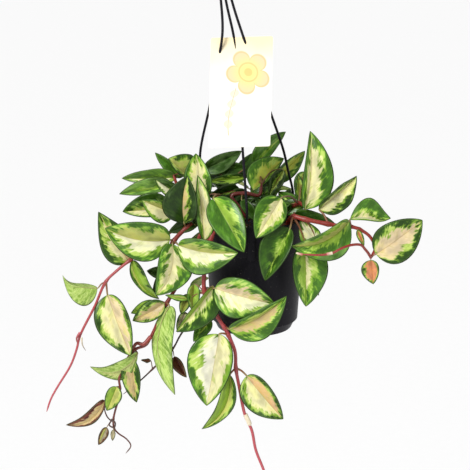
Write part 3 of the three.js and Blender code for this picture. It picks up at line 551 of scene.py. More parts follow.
vines["shoot_right"] = {
    "root": (32, -4), "girth": (2.6, 2), "bark": ("maroon", "red"),
    "route": [(76, 38, 14), (84, 36, 24), (86, 44, 24)],
    "leaves": [
        leafAt(2, (84, 31, 34), (90, 125, 22), (9, 8), (28, 6), "cream cream mid", (0.5, 0.54, 0.35), bow=-4),
        leafAt(0, (55, 44, 50), (25, -4, 82), (18, 6), (21, 6), "cream cream mid", (0.7, 0.42, 0.25)),
        leafAt(1, (78, 42, 4), (76, 73, -6), (6, 4), (7, 4), "olive olive dark", (0.5, 0.5, 0.2)),
        leafAt(0, (80, 30, 4), (52, 52, -10), (12, 4), (10, 4), "lime lime mid", (0.1, 0, 0.2)),
        leafAt(0, (84, 76, -14), (75, 44, -8), (9, 4), (10, 4), "lime olive mid", (0.3, 0.3, 0.3)),
        leafAt(0, (52, 28, 4), (88, 38, 8), (8, 4), (8, 4), "lime lime mid", (0, 0.1, 0.2)),
    ],
}

potTable = {
    "across": 41.4, "rimBelowHook": 372, "rimRadius": 61.5, "collarHeight": 37, "collarTaper": 1,
    "bodyRadius": 58, "footRadius": 51.5, "footStep": 1.8, "footHeight": 11, "baseRadius": 45,
    "baseRecess": 3, "height": 138, "wall": 1.6, "drainRadius": 4, "drainCircle": 26, "drains": 5,
    "segments": 144, "lip": 0.75,
}
potTop = -potTable["rimBelowHook"]
potCentre = Vector((potTable["across"], 0, potTop))
rim, wall = potTable["rimRadius"], potTable["wall"]
potLow, collarFoot = -potTable["height"], -potTable["collarHeight"]
potFloor, footTop = potLow + potTable["baseRecess"], potLow + potTable["footHeight"]
collarLow = rim - potTable["collarTaper"]
hangingTable = {
    "hearts": ("cream", "ivory", "lime", "tan"), "margins": ("mid", "dark", "forest"), "cover": (0.2, 0.85),
    "patch": (0.1, 0.7), "overRim": ((-10, 0, 6), (0, 0.3, 9), (0, 0.9, -4)), "crownLength": (40, 52),
    "crownWidth": 0.52, "firstDrop": 8, "spread": 5, "stray": 6, "length": (58, 74), "taper": 0.35,
    "width": (0.5, 0.58), "fold": (3, 7), "petiole": 12,
}


def hangingVine(root, bearing, stand, drop, nodes, seed, crown=(), size=1.0):
    # a vine at the back or side hangs over the rim, with leaves in turn to both sides and outwards
    h = hangingTable
    draw, pick = drawer(seed), drawer(seed * 31 + 7)
    out, side, down = around(bearing), around(bearing + 90), Vector((0, 0, -1))

    def at(radius, height, shift=0):
        return potCentre + Vector((0, 0, height)) + out * radius + side * shift

    def looks():
        pair = [h["hearts"][int(pick(0, 3.999))] for _ in range(2)]
        tone = h["margins"][int(pick(0, 2.999))]
        return (*pair, tone), (pick(*h["cover"]), pick(*h["cover"]), pick(*h["patch"]))
    points = [at(rim + shift + share * stand, height) for shift, share, height in h["overRim"]]
    leaves = []
    for k, way in enumerate(crown):
        towards = side * (0.8 * way) + out * draw(0.3, 0.7)
        towards.z = draw(0.02, 0.3)
        foot = points[k] + towards.normalized() * 9 + Vector((0, 0, 5))
        length = size * draw(*h["crownLength"])
        width = length * h["crownWidth"]
        leaves.append(grownLeaf(k, foot, towards, out - down * 1.6, length, width, 4, *looks()))
    for k in range(nodes):
        share = (k + 1) / nodes
        shift = draw(-h["stray"], h["stray"]) * share
        point = at(rim + stand + h["spread"] * share, -h["firstDrop"] - drop * share, shift)
        points.append(point)
        for way in [0] if k % 2 else [-1, 1]:
            towards = side * (way * draw(0.7, 0.95))
            towards += out * (draw(0.05, 0.25) if way else 0.75)
            towards += down * draw(0.35, 0.75)
            facing = out - down * draw(0.5, 0.9)
            length = size * draw(*h["length"]) * (1 - h["taper"] * share)
            foot = point + towards.normalized() * h["petiole"]
            width = length * draw(*h["width"])
            leaves.append(grownLeaf(k + 3, foot, towards, facing, length, width, draw(*h["fold"]), *looks()))
    return {"root": root, "girth": (2.6, 1.6), "bark": ("red", "red"), "points": points, "leaves": leaves}


vines["vine_back_left"] = hangingVine((-26, -40), 131, 10, 104, 4, 11, size=0.82)
vines["vine_back"] = hangingVine((4, -44), 90, 38, 124, 5, 23, crown=(-1, 1))
vines["vine_back_right"] = hangingVine((28, -38), 50, 10, 104, 4, 37, size=0.82)


bladeSizes = {"Columns": 21, "Rows": 29, "Half thickness": 0.5 * mm, "Wave": 1.3 * mm}


def widthAlong(t):
    # how wide a blade is along its midrib, 1 at its widest
    return t ** leafTable["base"] * (1 - t) ** leafTable["tip"] * leafTable["scale"]


def bladeTree(face, back):
    # turns each point of a mesh into a blade, from the vectors that the point carries
    board, given = newTree("blades", bladeSizes)
    grid = board.node("GeometryNodeMeshGrid", None, {
        "Size X": 2.0, "Size Y": 1.0, "Vertices X": given["Columns"], "Vertices Y": given["Rows"],
    })
    x, y, _ = board.split(board.node("GeometryNodeInputPosition"))
    turn = board.maths("COSINE", (y + 0.5) * math.pi)
    stored = {"data_type": "FLOAT_VECTOR", "domain": "POINT"}
    spots = {"Geometry": grid, "Name": "spot", "Value": board.join(-x, (1 - turn) * 0.5, 0.0)}
    grid = board.node("GeometryNodeStoreNamedAttribute", stored, spots)
    blades = board.node("GeometryNodeInstanceOnPoints", None, {"Points": given["Geometry"], "Instance": grid})
    blades = board.node("GeometryNodeRealizeInstances", None, {"Geometry": blades})
    s, t, _ = board.split(board.read("spot"))
    chance, _, _ = board.split(board.read("chances"))
    reach = board.absolute(s)
    isLeft = board.above(s, 0.0)
    spread = widthAlong(t)
    edge = board.read("left") * isLeft + board.read("right") * (1 - isLeft)
    facing = board.read("facing")
    bulge = board.length(edge) * (reach - reach * reach) * spread * leafTable["fullness"]
    ripple = board.sine(t * (chance * 6 + 6) + chance * 40 + isLeft * 2) * reach ** 3 * spread
    place = board.read("foot") + board.read("along") * t + board.read("sway") * (t * (1 - t) * 4)
    place = place + edge * (reach * spread) + board.read("hook") * t ** leafTable["curl"]
    place = place + facing * (bulge + ripple * given["Wave"])
    blades = board.node("GeometryNodeSetPosition", None, {"Geometry": blades, "Position": place})
    normal = board.node("GeometryNodeInputNormal")
    roundness = ((1 - reach ** 4) * (t * (1 - t) * 4) ** 0.6) ** 0.5
    lift = normal * (given["Half thickness"] * roundness)
    top = board.node("GeometryNodeSetPosition", None, {"Geometry": blades, "Offset": lift})
    low = board.node("GeometryNodeSetPosition", None, {"Geometry": blades, "Offset": -lift})
    low = board.node("GeometryNodeFlipFaces", None, {"Mesh": low})
    marked = {"data_type": "BOOLEAN", "domain": "FACE"}
    backs = {"Geometry": low, "Name": "isBack", "Value": True}
    low = board.node("GeometryNodeStoreNamedAttribute", marked, backs)
    whole = board.node("GeometryNodeJoinGeometry", None, {"Geometry": [top, low]})
    whole = board.node("GeometryNodeMergeByDistance", None, {"Geometry": whole, "Distance": 0.01 * mm})
    whole = board.node("GeometryNodeSetShadeSmooth", None, {"Geometry": whole})
    closeTree(board, whole, face, [("isBack", back)])
    return board.tree


def tubeTree(name, material):
    # turns each run of edges into a closed tube, as thick as the girth that its points carry
    board, given = newTree(name, {"Sides": 12, "Lumps": 0.0, "Lump size": 0.004})
    line = board.node("GeometryNodeMeshToCurve", None, {"Mesh": given["Geometry"]})
    girth, _, _ = board.split(board.read("girth"))
    circle = {"Resolution": given["Sides"], "Radius": 1.0}
    circle = board.node("GeometryNodeCurvePrimitiveCircle", None, circle)
    tube = board.node("GeometryNodeCurveToMesh", None, {
        "Curve": line, "Profile Curve": circle, "Scale": girth, "Fill Caps": True,
    })
    normal = board.node("GeometryNodeInputNormal")
    place = board.node("GeometryNodeInputPosition")
    lumps = board.noise(place, board.maths("DIVIDE", 1.0, given["Lump size"]), 3.0) - 0.5
    offset = normal * (lumps * given["Lumps"] * 2)
    tube = board.node("GeometryNodeSetPosition", None, {"Geometry": tube, "Offset": offset})
    tube = board.node("GeometryNodeSetShadeSmooth", None, {"Geometry": tube})
    closeTree(board, tube, material)
    return board.tree


def vectorMesh(name, points, edges, attributes):
    # loose points and edges that carry vectors for a tree, all in metres
    mesh = bpy.data.meshes.new(name)
    mesh.from_pydata(points, edges, [])
    for label, values in attributes.items():
        attribute = mesh.attributes.new(label, "FLOAT_VECTOR", "POINT")
        attribute.data.foreach_set("vector", [part for value in values for part in value])
    return mesh


def tubePiece(name, runs, tree, sizes):
    # tubes along runs, each a list of (place in millimetres, radius, colour)
    points, edges, girths, barks = [], [], [], []
    for run in runs:
        for i, (place, radius, bark) in enumerate(run):
            if i:
                edges.append((len(points) - 1, len(points)))
            points.append(place * mm)
            girths.append((radius * mm, 0, 0))
            barks.append(bark)
    mesh = vectorMesh(name, points, edges, {"girth": girths, "bark": barks})
    return grow(name, mesh, tree, sizes, ("girth",))


def paintBark(board):
    # glossy young bark: fine streaks, paler scars and darker freckles
    place = board.place()
    bark = board.read("bark")
    streak = board.noise(place, 420.0, 3.0, 0.6)
    freckle = board.smooth(board.noise(place, 1500.0, 1.0), 0.6, 0.72)
    tint = board.mix(streak, bark * 0.72, bark * 1.35)
    tint = board.mix(freckle * 0.35, tint, linear("c9a27c"))
    height = streak + board.noise(place, 1800.0, 2.0) * 0.4
    return {"Base Color": tint, "Roughness": 0.3 + streak * 0.2, "Normal": board.bump(height, 0.35, 0.3)}


# rim is the pale green of the painted rim highlight and sheen; the dark outline colour is the painted shade
# line at the edge
bladeInks = {
    "greenLime": "80a432", "paleLime": "b8cc66", "warmHeart": "f5e8c6", "rim": "b2cc92",
    "edgeShadeInk": "22340e", "backGlow": "b0cc64", "backVein": "d8e898", "backShade": "557c24",
}
# the two rim widths are of the painted highlight and the painted shade line; shade and light set the painted
# drifts
bladeLook = {
    "veinLean": 0.3, "veins": 7.5, "inset": 0.055, "teeth": 0.85, "bays": 0.75, "fineTeeth": 0.16,
    "midrib": (0.25, 0.7), "paintedRimHighlight": (0.9, 3.0), "paintedEdgeShade": (0.6, 1.5), "shade": 0.7, "light": 0.36,
    "gloss": 0.26, "leastGloss": 0.06,
}


def paintBlade(board, isBack):
    # cream heart with a toothed border, lime band and mottled green margin, by the place on the blade
    b = bladeLook
    ink = {name: linear(code) for name, code in bladeInks.items()}
    s, t, _ = board.split(board.read("spot"))
    coverLeft, coverRight, patch = board.split(board.read("covers"))
    widthLeft, widthRight, _ = board.split(board.read("sizes"))
    chance, other, _ = board.split(board.read("chances"))
    reach = board.absolute(s)
    isLeft = board.above(s, 0.0)
    cover = coverRight + isLeft * (coverLeft - coverRight)
    width = widthRight + isLeft * (widthLeft - widthRight)
    heart = board.mix(isLeft, board.read("rightLook"), board.read("leftLook"))
    margin = board.read("marginLook")
    spread = widthAlong(t)

    # side veins leave the midrib and run out and forwards
    vein = t - reach * b["veinLean"] + board.sine(reach * 5 + chance * 9) * 0.012
    shift = chance * 71 + isLeft * 13
    streak = board.noise(board.join(vein * 13 + shift, reach * 1.3, chance * 31), 1.0, 2.0, 0.6)
    blotch = board.noise(board.join(s * 2.1 + shift, t * 3.6, chance * 17), 1.0, 2.0)
    drift = board.noise(board.join(s * 2.6 - shift, t * 4.4, other * 23), 1.0, 1.0)
    fine = board.noise(board.join(vein * 46 + shift, reach * 7, chance * 5), 1.0, 2.0)

    # the border between the heart and the margin, in shares of the blade's half width
    limit = (1 - cover) * (spread * 0.6 + 0.4) + b["inset"]
    freedom = board.maths("MINIMUM", cover * (1 - cover) * 5, 1.0)
    ragged = (streak - 0.5) * b["teeth"] + (blotch - 0.5) * b["bays"] + (fine - 0.5) * b["fineTeeth"]
    ragged = ragged * freedom
    inside = (1 - reach) * spread - limit + ragged
    hasHeart = board.above(cover, 0.02)
    edge = (1 - reach) * spread * width
    heartMask = board.smooth(inside, -0.02, 0.09) * board.smooth(edge, 1.2, 3.4)
    band = board.smooth(drift, 0.38, 0.66) * 0.22 + 0.04
    paleMask = board.smooth(inside + band, -0.03, 0.1) * hasHeart * board.smooth(edge, 0.7, 2.4)
    limeMask = board.smooth(inside + band * 1.5 + (fine - 0.4) * 0.5, 0.0, 0.12) * hasHeart
    islands = board.smooth(streak * 0.45 + drift * 0.55 + patch * 0.16, 0.6, 0.67)
    heartMask = heartMask * (1 - islands * board.maths("MINIMUM", patch * 1.5, 0.92))

    # greens from dark to lime, the heart warmed and yellowed in drifts, then painted shade and sheen
    mottle = board.smooth(streak * 0.5 + blotch * 0.5, 0.42, 0.7)
    green = board.mix(mottle, margin * 0.62, margin * (1.12, 1.04, 0.75))
    green = board.mix(board.smooth(fine, 0.5, 0.68) * 0.22, green, margin * (1.9, 1.6, 0.9))
    red, leafy, _ = board.split(margin)
    isGreen = board.above(leafy, red)
    lime = board.mix(board.smooth(drift, 0.42, 0.62) * isGreen, ink["greenLime"], margin * (1.7, 1.5, 0.9))
    pale = board.mix(board.smooth(blotch + (fine - 0.5) * 0.4, 0.4, 0.62), ink["greenLime"], ink["paleLime"])
    lime = board.mix(isGreen, margin * 1.3, lime)
    pale = board.mix(isGreen, margin * 1.8, pale)
    heart = board.mix(board.smooth(blotch, 0.46, 0.7) * 0.5, heart, heart * (0.9, 0.94, 0.6))
    heart = board.mix(board.smooth(drift, 0.5, 0.72) * 0.5, heart, heart * ink["warmHeart"])
    heart = board.mix(board.smooth(streak + fine * 0.6, 0.8, 1.08) * 0.45, heart, heart * (0.72, 0.76, 0.5))
    # painted shade in the fold along the midrib
    heart = board.mix((1 - board.smooth(reach, 0.0, 0.5)) * 0.3, heart, heart * (0.76, 0.74, 0.66))
    tint = board.mix(limeMask * 0.85, green, lime)
    tint = board.mix(paleMask * 0.8, tint, pale)
    # pale patches of painted sheen on the green
    paintedSheen = board.smooth(blotch * 0.6 + other * 0.2 - drift * 0.2, 0.34, 0.44)
    tint = board.mix(paintedSheen * 0.12, tint, ink["rim"])
    # painted shade darkening the green near the edge
    tint = board.mix((1 - board.smooth(edge, 1.0, 5.0)) * 0.4, tint, tint * (0.5, 0.62, 0.6))
    tint = board.mix(heartMask, tint, heart)
    # drifts of painted light and shade over the whole blade
    tint = tint * (board.smooth(drift + blotch, 0.75, 1.2) * b["light"] + b["shade"])

    # midrib, side veins, a painted highlight on the rolled rim and the line of painted shade that closes it
    rib = 1 - board.smooth(reach * width * spread, *b["midrib"])
    beat = board.absolute(board.maths("FRACT", vein * b["veins"]) - 0.5)
    sideVein = board.smooth(beat, 0.42, 0.5) * board.smooth(reach, 0.02, 0.1)
    paintedRimHighlight = 1 - board.smooth(edge, *b["paintedRimHighlight"])
    paintedEdgeShade = 1 - board.smooth(edge, *b["paintedEdgeShade"])
    if isBack:
        glow = board.mix(board.smooth(streak * 0.5 + fine * 0.5, 0.4, 0.6), ink["backShade"], ink["backVein"])
        tint = board.mix(0.3, tint, ink["backGlow"])
        tint = board.mix(0.4, tint, glow)
        tint = board.mix(rib * 0.4 + sideVein * 0.25, tint, ink["backVein"])
        # the painted shade line along the edge, on the back too
        tint = board.mix(paintedEdgeShade * 0.7, tint, ink["edgeShadeInk"])
        relief = rib * 0.8 + sideVein * 0.5 + fine * 0.1
        return {"Base Color": tint, "Roughness": 0.46 + fine * 0.12, "Normal": board.bump(relief, 0.5, 0.5)}
    tint = board.mix(rib * 0.5, tint, tint * (0.62, 0.5, 0.4))
    tint = board.mix(sideVein * 0.12, tint, tint * 1.35)
    # painted highlight along the rolled rim
    tint = board.mix(paintedRimHighlight * 0.22, tint, board.mix(0.3, margin * (2.6, 2.0, 1.6), ink["rim"]))
    # painted shade line at the very edge
    tint = board.mix(paintedEdgeShade * 0.78, tint, ink["edgeShadeInk"])
    relief = fine * 0.1 + blotch * 0.3 - rib * 0.4 - sideVein * 0.25 - paintedEdgeShade * 0.6
    coat = board.smooth(reach * width * spread, 0.3, 3.0) * b["gloss"] + b["leastGloss"]
    normal = board.bump(relief, 0.5, 0.5)
    return {"Base Color": tint, "Roughness": 0.3 + fine * 0.12, "Coat Weight": coat, "Normal": normal}


waxy = {"Specular IOR Level": 0.05, "Coat Roughness": 0.2}
youngBark = newMaterial("youngBark", {"Specular IOR Level": 0.5}, paintBark)
bladeFace = newMaterial("bladeFace", waxy, lambda board: paintBlade(board, False))
bladeBack = newMaterial("bladeBack", {"Specular IOR Level": 0.08}, lambda board: paintBlade(board, True))
blades = bladeTree(bladeFace, bladeBack)
barkTubes = tubeTree("barkTubes", youngBark)
barkSizes = {"Sides": 12, "Lumps": 0.12 * mm, "Lump size": 2.5 * mm}
bladeVectors = ("foot", "along", "left", "right", "sway", "hook")


def bladesPiece(name, leaves, draw):
    # all the blades of one stem as one mesh
    vectors = {key: [leaf[key] * mm for leaf in leaves] for key in bladeVectors}
    vectors["facing"] = [leaf["facing"] for leaf in leaves]
    for i, look in enumerate(("leftLook", "rightLook", "marginLook")):
        vectors[look] = [leaf["looks"][i] for leaf in leaves]
    vectors["covers"] = [leaf["covers"] for leaf in leaves]
    vectors["sizes"] = [(leaf["left"].length, leaf["right"].length, leaf["along"].length) for leaf in leaves]
    vectors["chances"] = [(draw(0, 1), draw(0, 1), draw(0, 1)) for leaf in leaves]
    mesh = vectorMesh(name, [(0, 0, 0)] * len(leaves), [], vectors)
    return grow(name, mesh, blades, bladeSizes, (*bladeVectors, "facing", "isBack"))


petioleTable = {
    "blend": 0.75, "rise": 0.12, "behind": ((0.07, 0.55), (0.2, 0.6), (0.45, 0.55), (0.7, 0.35)),
    "radii": (1.55, 1.2, 1.05, 0.8, 0.62, 0.45, 0.15), "steps": 4, "fullLeaf": 60, "leastSize": 0.5,
    "greenFrom": 1.2, "greenOver": 1.6,
}
stemTable = {
    "steps": 6, "swelling": 0.38, "reach": 1.1, "tip": 0.35, "tipGrowth": 0.3, "scar": 0.35,
    "inSoil": (-14, 7), "firstSeed": 101, "seedStep": 17,
}


def petiole(start, leaf, bark, tuck):
    # from its stem up to the blade, then as the midrib along the blade's back; tuck carries it rearwards
    p = petioleTable
    foot, along, facing = leaf["foot"], leaf["along"], leaf["facing"]
    size = min(max(along.length / p["fullLeaf"], p["leastSize"]), 1)
    bark = blend(bark, linear(colours["petiole"]), p["blend"])
    bend = start.lerp(foot, 0.5) + Vector((0, tuck, (start - foot).length * p["rise"]))
    behind = [
        foot + along * t + leaf["sway"] * (4 * t * (1 - t)) - facing * depth for t, depth in p["behind"]
    ]
    path = smoothPath([start, bend, foot - facing * 0.2, *behind], p["steps"])
    run = []
    for i, place in enumerate(path):
        k, share = divmod(i / p["steps"], 1)
        low, high = p["radii"][int(k)], p["radii"][min(int(k) + 1, len(p["radii"]) - 1)]
        green = min(max((k + share - p["greenFrom"]) / p["greenOver"], 0), 1)
        tint = blend(bark, linear(colours["stalk"]), green)
        run.append((place, (low + (high - low) * share) * size, tint))
    return run


def stemRun(points, girth, bearing, barks):
    # a stem through its points, swollen at each one that bears a leaf or a shoot
    s = stemTable
    path = smoothPath(points, s["steps"])
    run = []
    for i, place in enumerate(path):
        share = i / (len(path) - 1)
        near = [abs(i - s["steps"] * k) for k in bearing]
        swell = max([math.exp(-(steps / s["reach"]) ** 2) for steps in near], default=0)
        radius = girth[0] + (girth[1] - girth[0]) * share
        end = min(1, s["tip"] + (len(path) - 1 - i) * s["tipGrowth"])
        tint = blend(linear(colours[barks[0]]), linear(colours[barks[1]]), share)
        tint = blend(tint, linear(colours["scar"]), s["scar"] * swell)
        run.append((place, radius * (1 + s["swelling"] * swell) * end, tint))
    return run


def growShoot(shoot, points, leaves, runs):
    # a shoot with its leaves and petioles, and the side shoots that leave it
    offset = len(points) - len(shoot.get("route") or shoot["points"])
    own, sides = shoot.get("leaves", []), shoot.get("shoots", [])
    bearing = {item["at"] + offset for item in own + sides}
    runs.append(stemRun(points, shoot["girth"], bearing, shoot["bark"]))
    for leaf in own:
        leaves.append(leaf)
        start = points[leaf["at"] + offset]
        runs.append(petiole(start, leaf, linear(colours[shoot["bark"][0]]), shoot.get("tuck", 0)))
    for side in sides:
        start = points[side["at"] + offset]
        growShoot(side, [start] + [seen(place) for place in side["route"]], leaves, runs)


def paintPlastic(board):
    # moulded satin plastic: soft upright shading, scuffs and a few grains of dust
    place = board.place()
    x, y, z = board.split(place)
    upright = board.noise(board.join(x, y, z * 0.12), 60.0, 2.0)
    grain = board.noise(place, 2600.0, 1.0)
    scuff = board.smooth(board.noise(board.join(x * 3, y * 3, z), 90.0, 4.0, 0.7), 0.56, 0.72)
    dust = board.smooth(board.noise(place, 620.0, 1.0), 0.74, 0.78)
    tint = board.mix(upright, linear("131216"), linear("212025"))
    tint = board.mix(scuff * 0.22, tint, linear("332f36"))
    tint = board.mix(dust * 0.5, tint, linear("8d8984"))
    rough = 0.36 + upright * 0.12 + scuff * 0.14 + dust * 0.3
    return {"Base Color": tint, "Roughness": rough, "Normal": board.bump(grain + scuff * 0.4, 0.12, 0.2)}


def paintSoil(board):
    # damp peat with paler fibres
    place = board.place()
    clod = board.noise(place, 240.0, 5.0, 0.65)
    fibre = board.smooth(board.noise(place * (1.0, 1.0, 2.0), 900.0, 3.0), 0.6, 0.72)
    tint = board.mix(clod, linear("17100b"), linear("47321f"))
    tint = board.mix(fibre * 0.5, tint, linear("7b5c3c"))
    normal = board.bump(clod + fibre * 0.3, 0.8, 1.5)
    return {"Base Color": tint, "Roughness": 0.85 + clod * 0.1, "Normal": normal}


def paintCrumb(board):
    # crumbs from dark bark to pale grit
    tone, _, _ = board.split(board.read("tone"))
    mottle = board.noise(board.place(), 700.0, 3.0)
    tint = board.mix(board.smooth(tone, 0.0, 0.9), linear("1c130d"), linear("5c4129"))
    tint = board.mix(board.smooth(tone, 0.93, 0.95), tint, linear("c9c1b2"))
    tint = board.mix(mottle * 0.5, tint, tint * 0.5)
    return {"Base Color": tint, "Roughness": 0.8 + mottle * 0.15, "Normal": board.bump(mottle, 0.6, 0.8)}


blackPlastic = newMaterial("blackPlastic", {"Specular IOR Level": 0.07}, paintPlastic)
dampSoil = newMaterial("dampSoil", {"Specular IOR Level": 0.2}, paintSoil)
soilCrumb = newMaterial("soilCrumb", {"Specular IOR Level": 0.2}, paintCrumb)


def potPiece():
    p = potTable
    body, foot, base = p["bodyRadius"], p["footRadius"], p["baseRadius"]
    profile = roundedProfile([
        (0, potFloor), (base - 6, potFloor), (base - 5, potLow), (base, potLow),
        (foot - p["footStep"], footTop - 1), (foot + 1, footTop), (body, collarFoot), (collarLow, collarFoot),
        (rim, 0), (rim - wall, 0), (collarLow - wall, collarFoot + wall), (body - wall, collarFoot + wall),
        (foot - wall, footTop + 1), (base - 2, potFloor + wall), (0, potFloor + wall),
    ], p["lip"])
    pot = newPiece("pot_body", latheShape(profile, p["segments"], potCentre), blackPlastic, 50)
    drill, radius = bmesh.new(), p["drainRadius"] * mm
    for k in range(p["drains"]):
        spot = potCentre + around(360 * k / p["drains"], p["drainCircle"], potFloor)
        bmesh.ops.create_cone(drill, cap_ends=True, segments=24, radius1=radius, radius2=radius,
                              depth=12 * mm, matrix=Matrix.Translation(spot * mm))
    return cutOut(pot, newPiece("drill", drill, blackPlastic))


def cutOut(piece, cutter):
    # takes the cutter out of the piece for good
    modifier = piece.modifiers.new("cut", "BOOLEAN")
    modifier.operation = "DIFFERENCE"
    modifier.solver = "EXACT"
    modifier.object = cutter
    depsgraph = bpy.context.evaluated_depsgraph_get()
    cut = bpy.data.meshes.new_from_object(piece.evaluated_get(depsgraph))
    piece.modifiers.remove(modifier)
    piece.data = cut
    cut.shade_smooth()
    cut.set_sharp_from_angle(angle=math.radians(30))
    bpy.data.objects.remove(cutter)
    return piece


soilTable = {
    "belowRim": 13, "mound": 4, "roughness": 1.3, "gap": 0.3, "rings": 26, "segments": 96, "unevenSeed": 41,
    "density": 190000.0, "crumb": 1.25, "seed": 5, "lowest": 22, "flattest": 0.4,
    "smallest": (0.35, 0.35, 0.3), "largest": (1.5, 1.2, 0.9),
}


def soilPiece():
    # the body of the mix, uneven on top
    p, s = potTable, soilTable
    gap, rings = wall + s["gap"], s["rings"]
    topRadius = rim - gap - 0.4
    profile = [
        (topRadius * i / rings, s["mound"] * (1 - (i / rings) ** 2) - s["belowRim"]) for i in range(rings + 1)
    ] + [
        (collarLow - gap, collarFoot + gap), (p["bodyRadius"] - gap, collarFoot + gap),
        (p["footRadius"] - gap, footTop + 1.4), (p["baseRadius"] - 2.4, potFloor + gap), (0, potFloor + gap),
    ]
    shape = latheShape(profile, s["segments"], potCentre)
    draw = drawer(s["unevenSeed"])
    for vertex in shape.verts:
        if vertex.co.z / mm - potTop > -s["belowRim"] - 0.1:
            vertex.co.z += draw(-s["roughness"], s["roughness"]) * mm
    return newPiece("soil_body", shape, dampSoil, 180)


def crumbTree():
    # uneven grains scattered over the upper faces
    board, given = newTree("crumbs", {"Density": 1000.0, "Grain": 0.001, "Seed": 1})
    _, _, upwards = board.split(board.node("GeometryNodeInputNormal"))
    height = board.split(board.node("GeometryNodeInputPosition"))[2]
    lowest = (potTop - soilTable["lowest"]) * mm
    top = board.above(upwards, soilTable["flattest"]) * board.above(height, lowest)
    spots = board.node("GeometryNodeDistributePointsOnFaces", None, {
        "Mesh": given["Geometry"], "Selection": top, "Density": given["Density"], "Seed": given["Seed"],
    })

    def chance(low, high, seed):
        kind = "FLOAT_VECTOR" if isinstance(low, tuple) else "FLOAT"
        inputs = {"Min": low, "Max": high, "Seed": seed}
        return board.node("FunctionNodeRandomValue", {"data_type": kind}, inputs)
    grain = board.node("GeometryNodeMeshIcoSphere", None, {"Radius": given["Grain"], "Subdivisions": 1})
    turn = board.node("FunctionNodeEulerToRotation", None, {0: chance((0, 0, 0), (6.28, 6.28, 6.28), 3)})
    size = chance(soilTable["smallest"], soilTable["largest"], 7)
    grains = board.node("GeometryNodeInstanceOnPoints", None, {
        "Points": spots, "Instance": grain, "Rotation": turn, "Scale": size,
    })
    stored = {"data_type": "FLOAT_VECTOR", "domain": "INSTANCE"}
    tone = board.join(chance(0.0, 1.0, 11), 0.0, 0.0)
    grains = board.node("GeometryNodeStoreNamedAttribute", stored, {
        "Geometry": grains, "Name": "tone", "Value": tone,
    })
    closeTree(board, grains, soilCrumb)
    return board.tree


hangerTable = {
    "innerRadius": 13, "barRadius": 2.6, "tipRadius": 1.6, "startAngle": -22, "openAngle": 200,
    "hubTop": -50, "hubRadius": 8, "hubHeight": 18, "legRadius": 1.5, "clipWidth": 8.5, "clipThick": 1.8,
    "clipLip": 3.2, "clipRise": 3, "clipGap": 0.3, "clipEdge": 0.45, "studRadius": 1.2, "studHeight": 1.2,
    "studApart": 5, "studDrop": 18, "studSides": 20, "inHub": (6, -5), "onCollar": (8, -4), "legSteps": 10,
    "shank": ((0, -4), (0, 4), (4, 10)), "turn": (11, -12), "arcSteps": 12, "nose": (-2, -6), "hookSteps": 5,
}
legs = {
    "front": {
        "angle": -94, "start": (1.5, 3.5),
        "route": [(-11, 282, 8), (0, 229, 19), (9, 105, 45), (14, 35, 61), (15.5, 14, 64)],
    },
    "left": {
        "angle": 140, "start": (-4, -1.5), "route": [
            (-17, 282, 8), (-15, 244, 26), (-19, 214, 20), (-30, 156, -2), (-42, 94, -20), (-37, 64, -33),
        ],
    },
    "right": {
        "angle": 40, "start": (4, -2),
        "route": [(-4, 282, 8), (12, 232, 19), (44, 143, 0), (58, 102, -14), (64, 76, -27), (69, 55, -36)],
    },
}
plasticTubes = tubeTree("plasticTubes", blackPlastic)
rodSizes = {"Sides": 16}
dark = linear("1b191e")


def legPath(leg):
    # from the hub down to the outside of the pot's collar
    h = hangerTable
    x, front = leg["start"]
    hubLow = h["hubTop"] - h["hubHeight"]
    radius = rim + h["clipGap"] + h["clipThick"] / 2
    clip = [potCentre + around(leg["angle"], radius, z) for z in h["onCollar"]]
    inHub = [Vector((x, -front, hubLow + z)) for z in h["inHub"]]
    return smoothPath([*inHub, *[seen(place) for place in leg["route"]], *clip], h["legSteps"])


def clipPiece(name, leg):
    # a flat strap grips the collar from outside and hooks under its lower edge, with two studs
    h = hangerTable
    inner, outer = rim + h["clipGap"], rim + h["clipGap"] + h["clipThick"]
    low, lip = collarFoot - h["clipGap"] - h["clipThick"], rim + h["clipGap"] - h["clipLip"]
    corners = [
        (inner, h["clipRise"]), (outer, h["clipRise"]), (outer, low), (lip, low),
        (lip, low + h["clipThick"]), (inner, low + h["clipThick"]),
    ]
    shape = bmesh.new()
    faces = [[shape.verts.new((x, side * h["clipWidth"], z)) for x, z in corners] for side in (-0.5, 0.5)]
    made = [shape.faces.new(faces[0]), shape.faces.new(list(reversed(faces[1])))]
    for k in range(len(corners)):
        n = (k + 1) % len(corners)
        made.append(shape.faces.new([faces[0][k], faces[1][k], faces[1][n], faces[0][n]]))
    bmesh.ops.recalc_face_normals(shape, faces=made)
    bmesh.ops.bevel(shape, geom=shape.edges[:], offset=h["clipEdge"], segments=3, profile=0.5, affect="EDGES")
    turn = Matrix.Rotation(math.radians(leg["angle"]), 4, "Z")
    for vertex in shape.verts:
        vertex.co = (turn @ vertex.co + potCentre) * mm
    radius = h["studRadius"] * mm
    for side in (-1, 1):
        place = turn @ Vector((outer, side * h["studApart"] / 2, -h["studDrop"])) + potCentre
        stand = Matrix.Translation(place * mm) @ turn @ Matrix.Rotation(math.pi / 2, 4, "Y")
        bmesh.ops.create_cone(shape, cap_ends=True, segments=h["studSides"], radius1=radius,
                              radius2=radius * 0.8, depth=h["studHeight"] * mm, matrix=stand)
    return newPiece(name, shape, blackPlastic, 40)


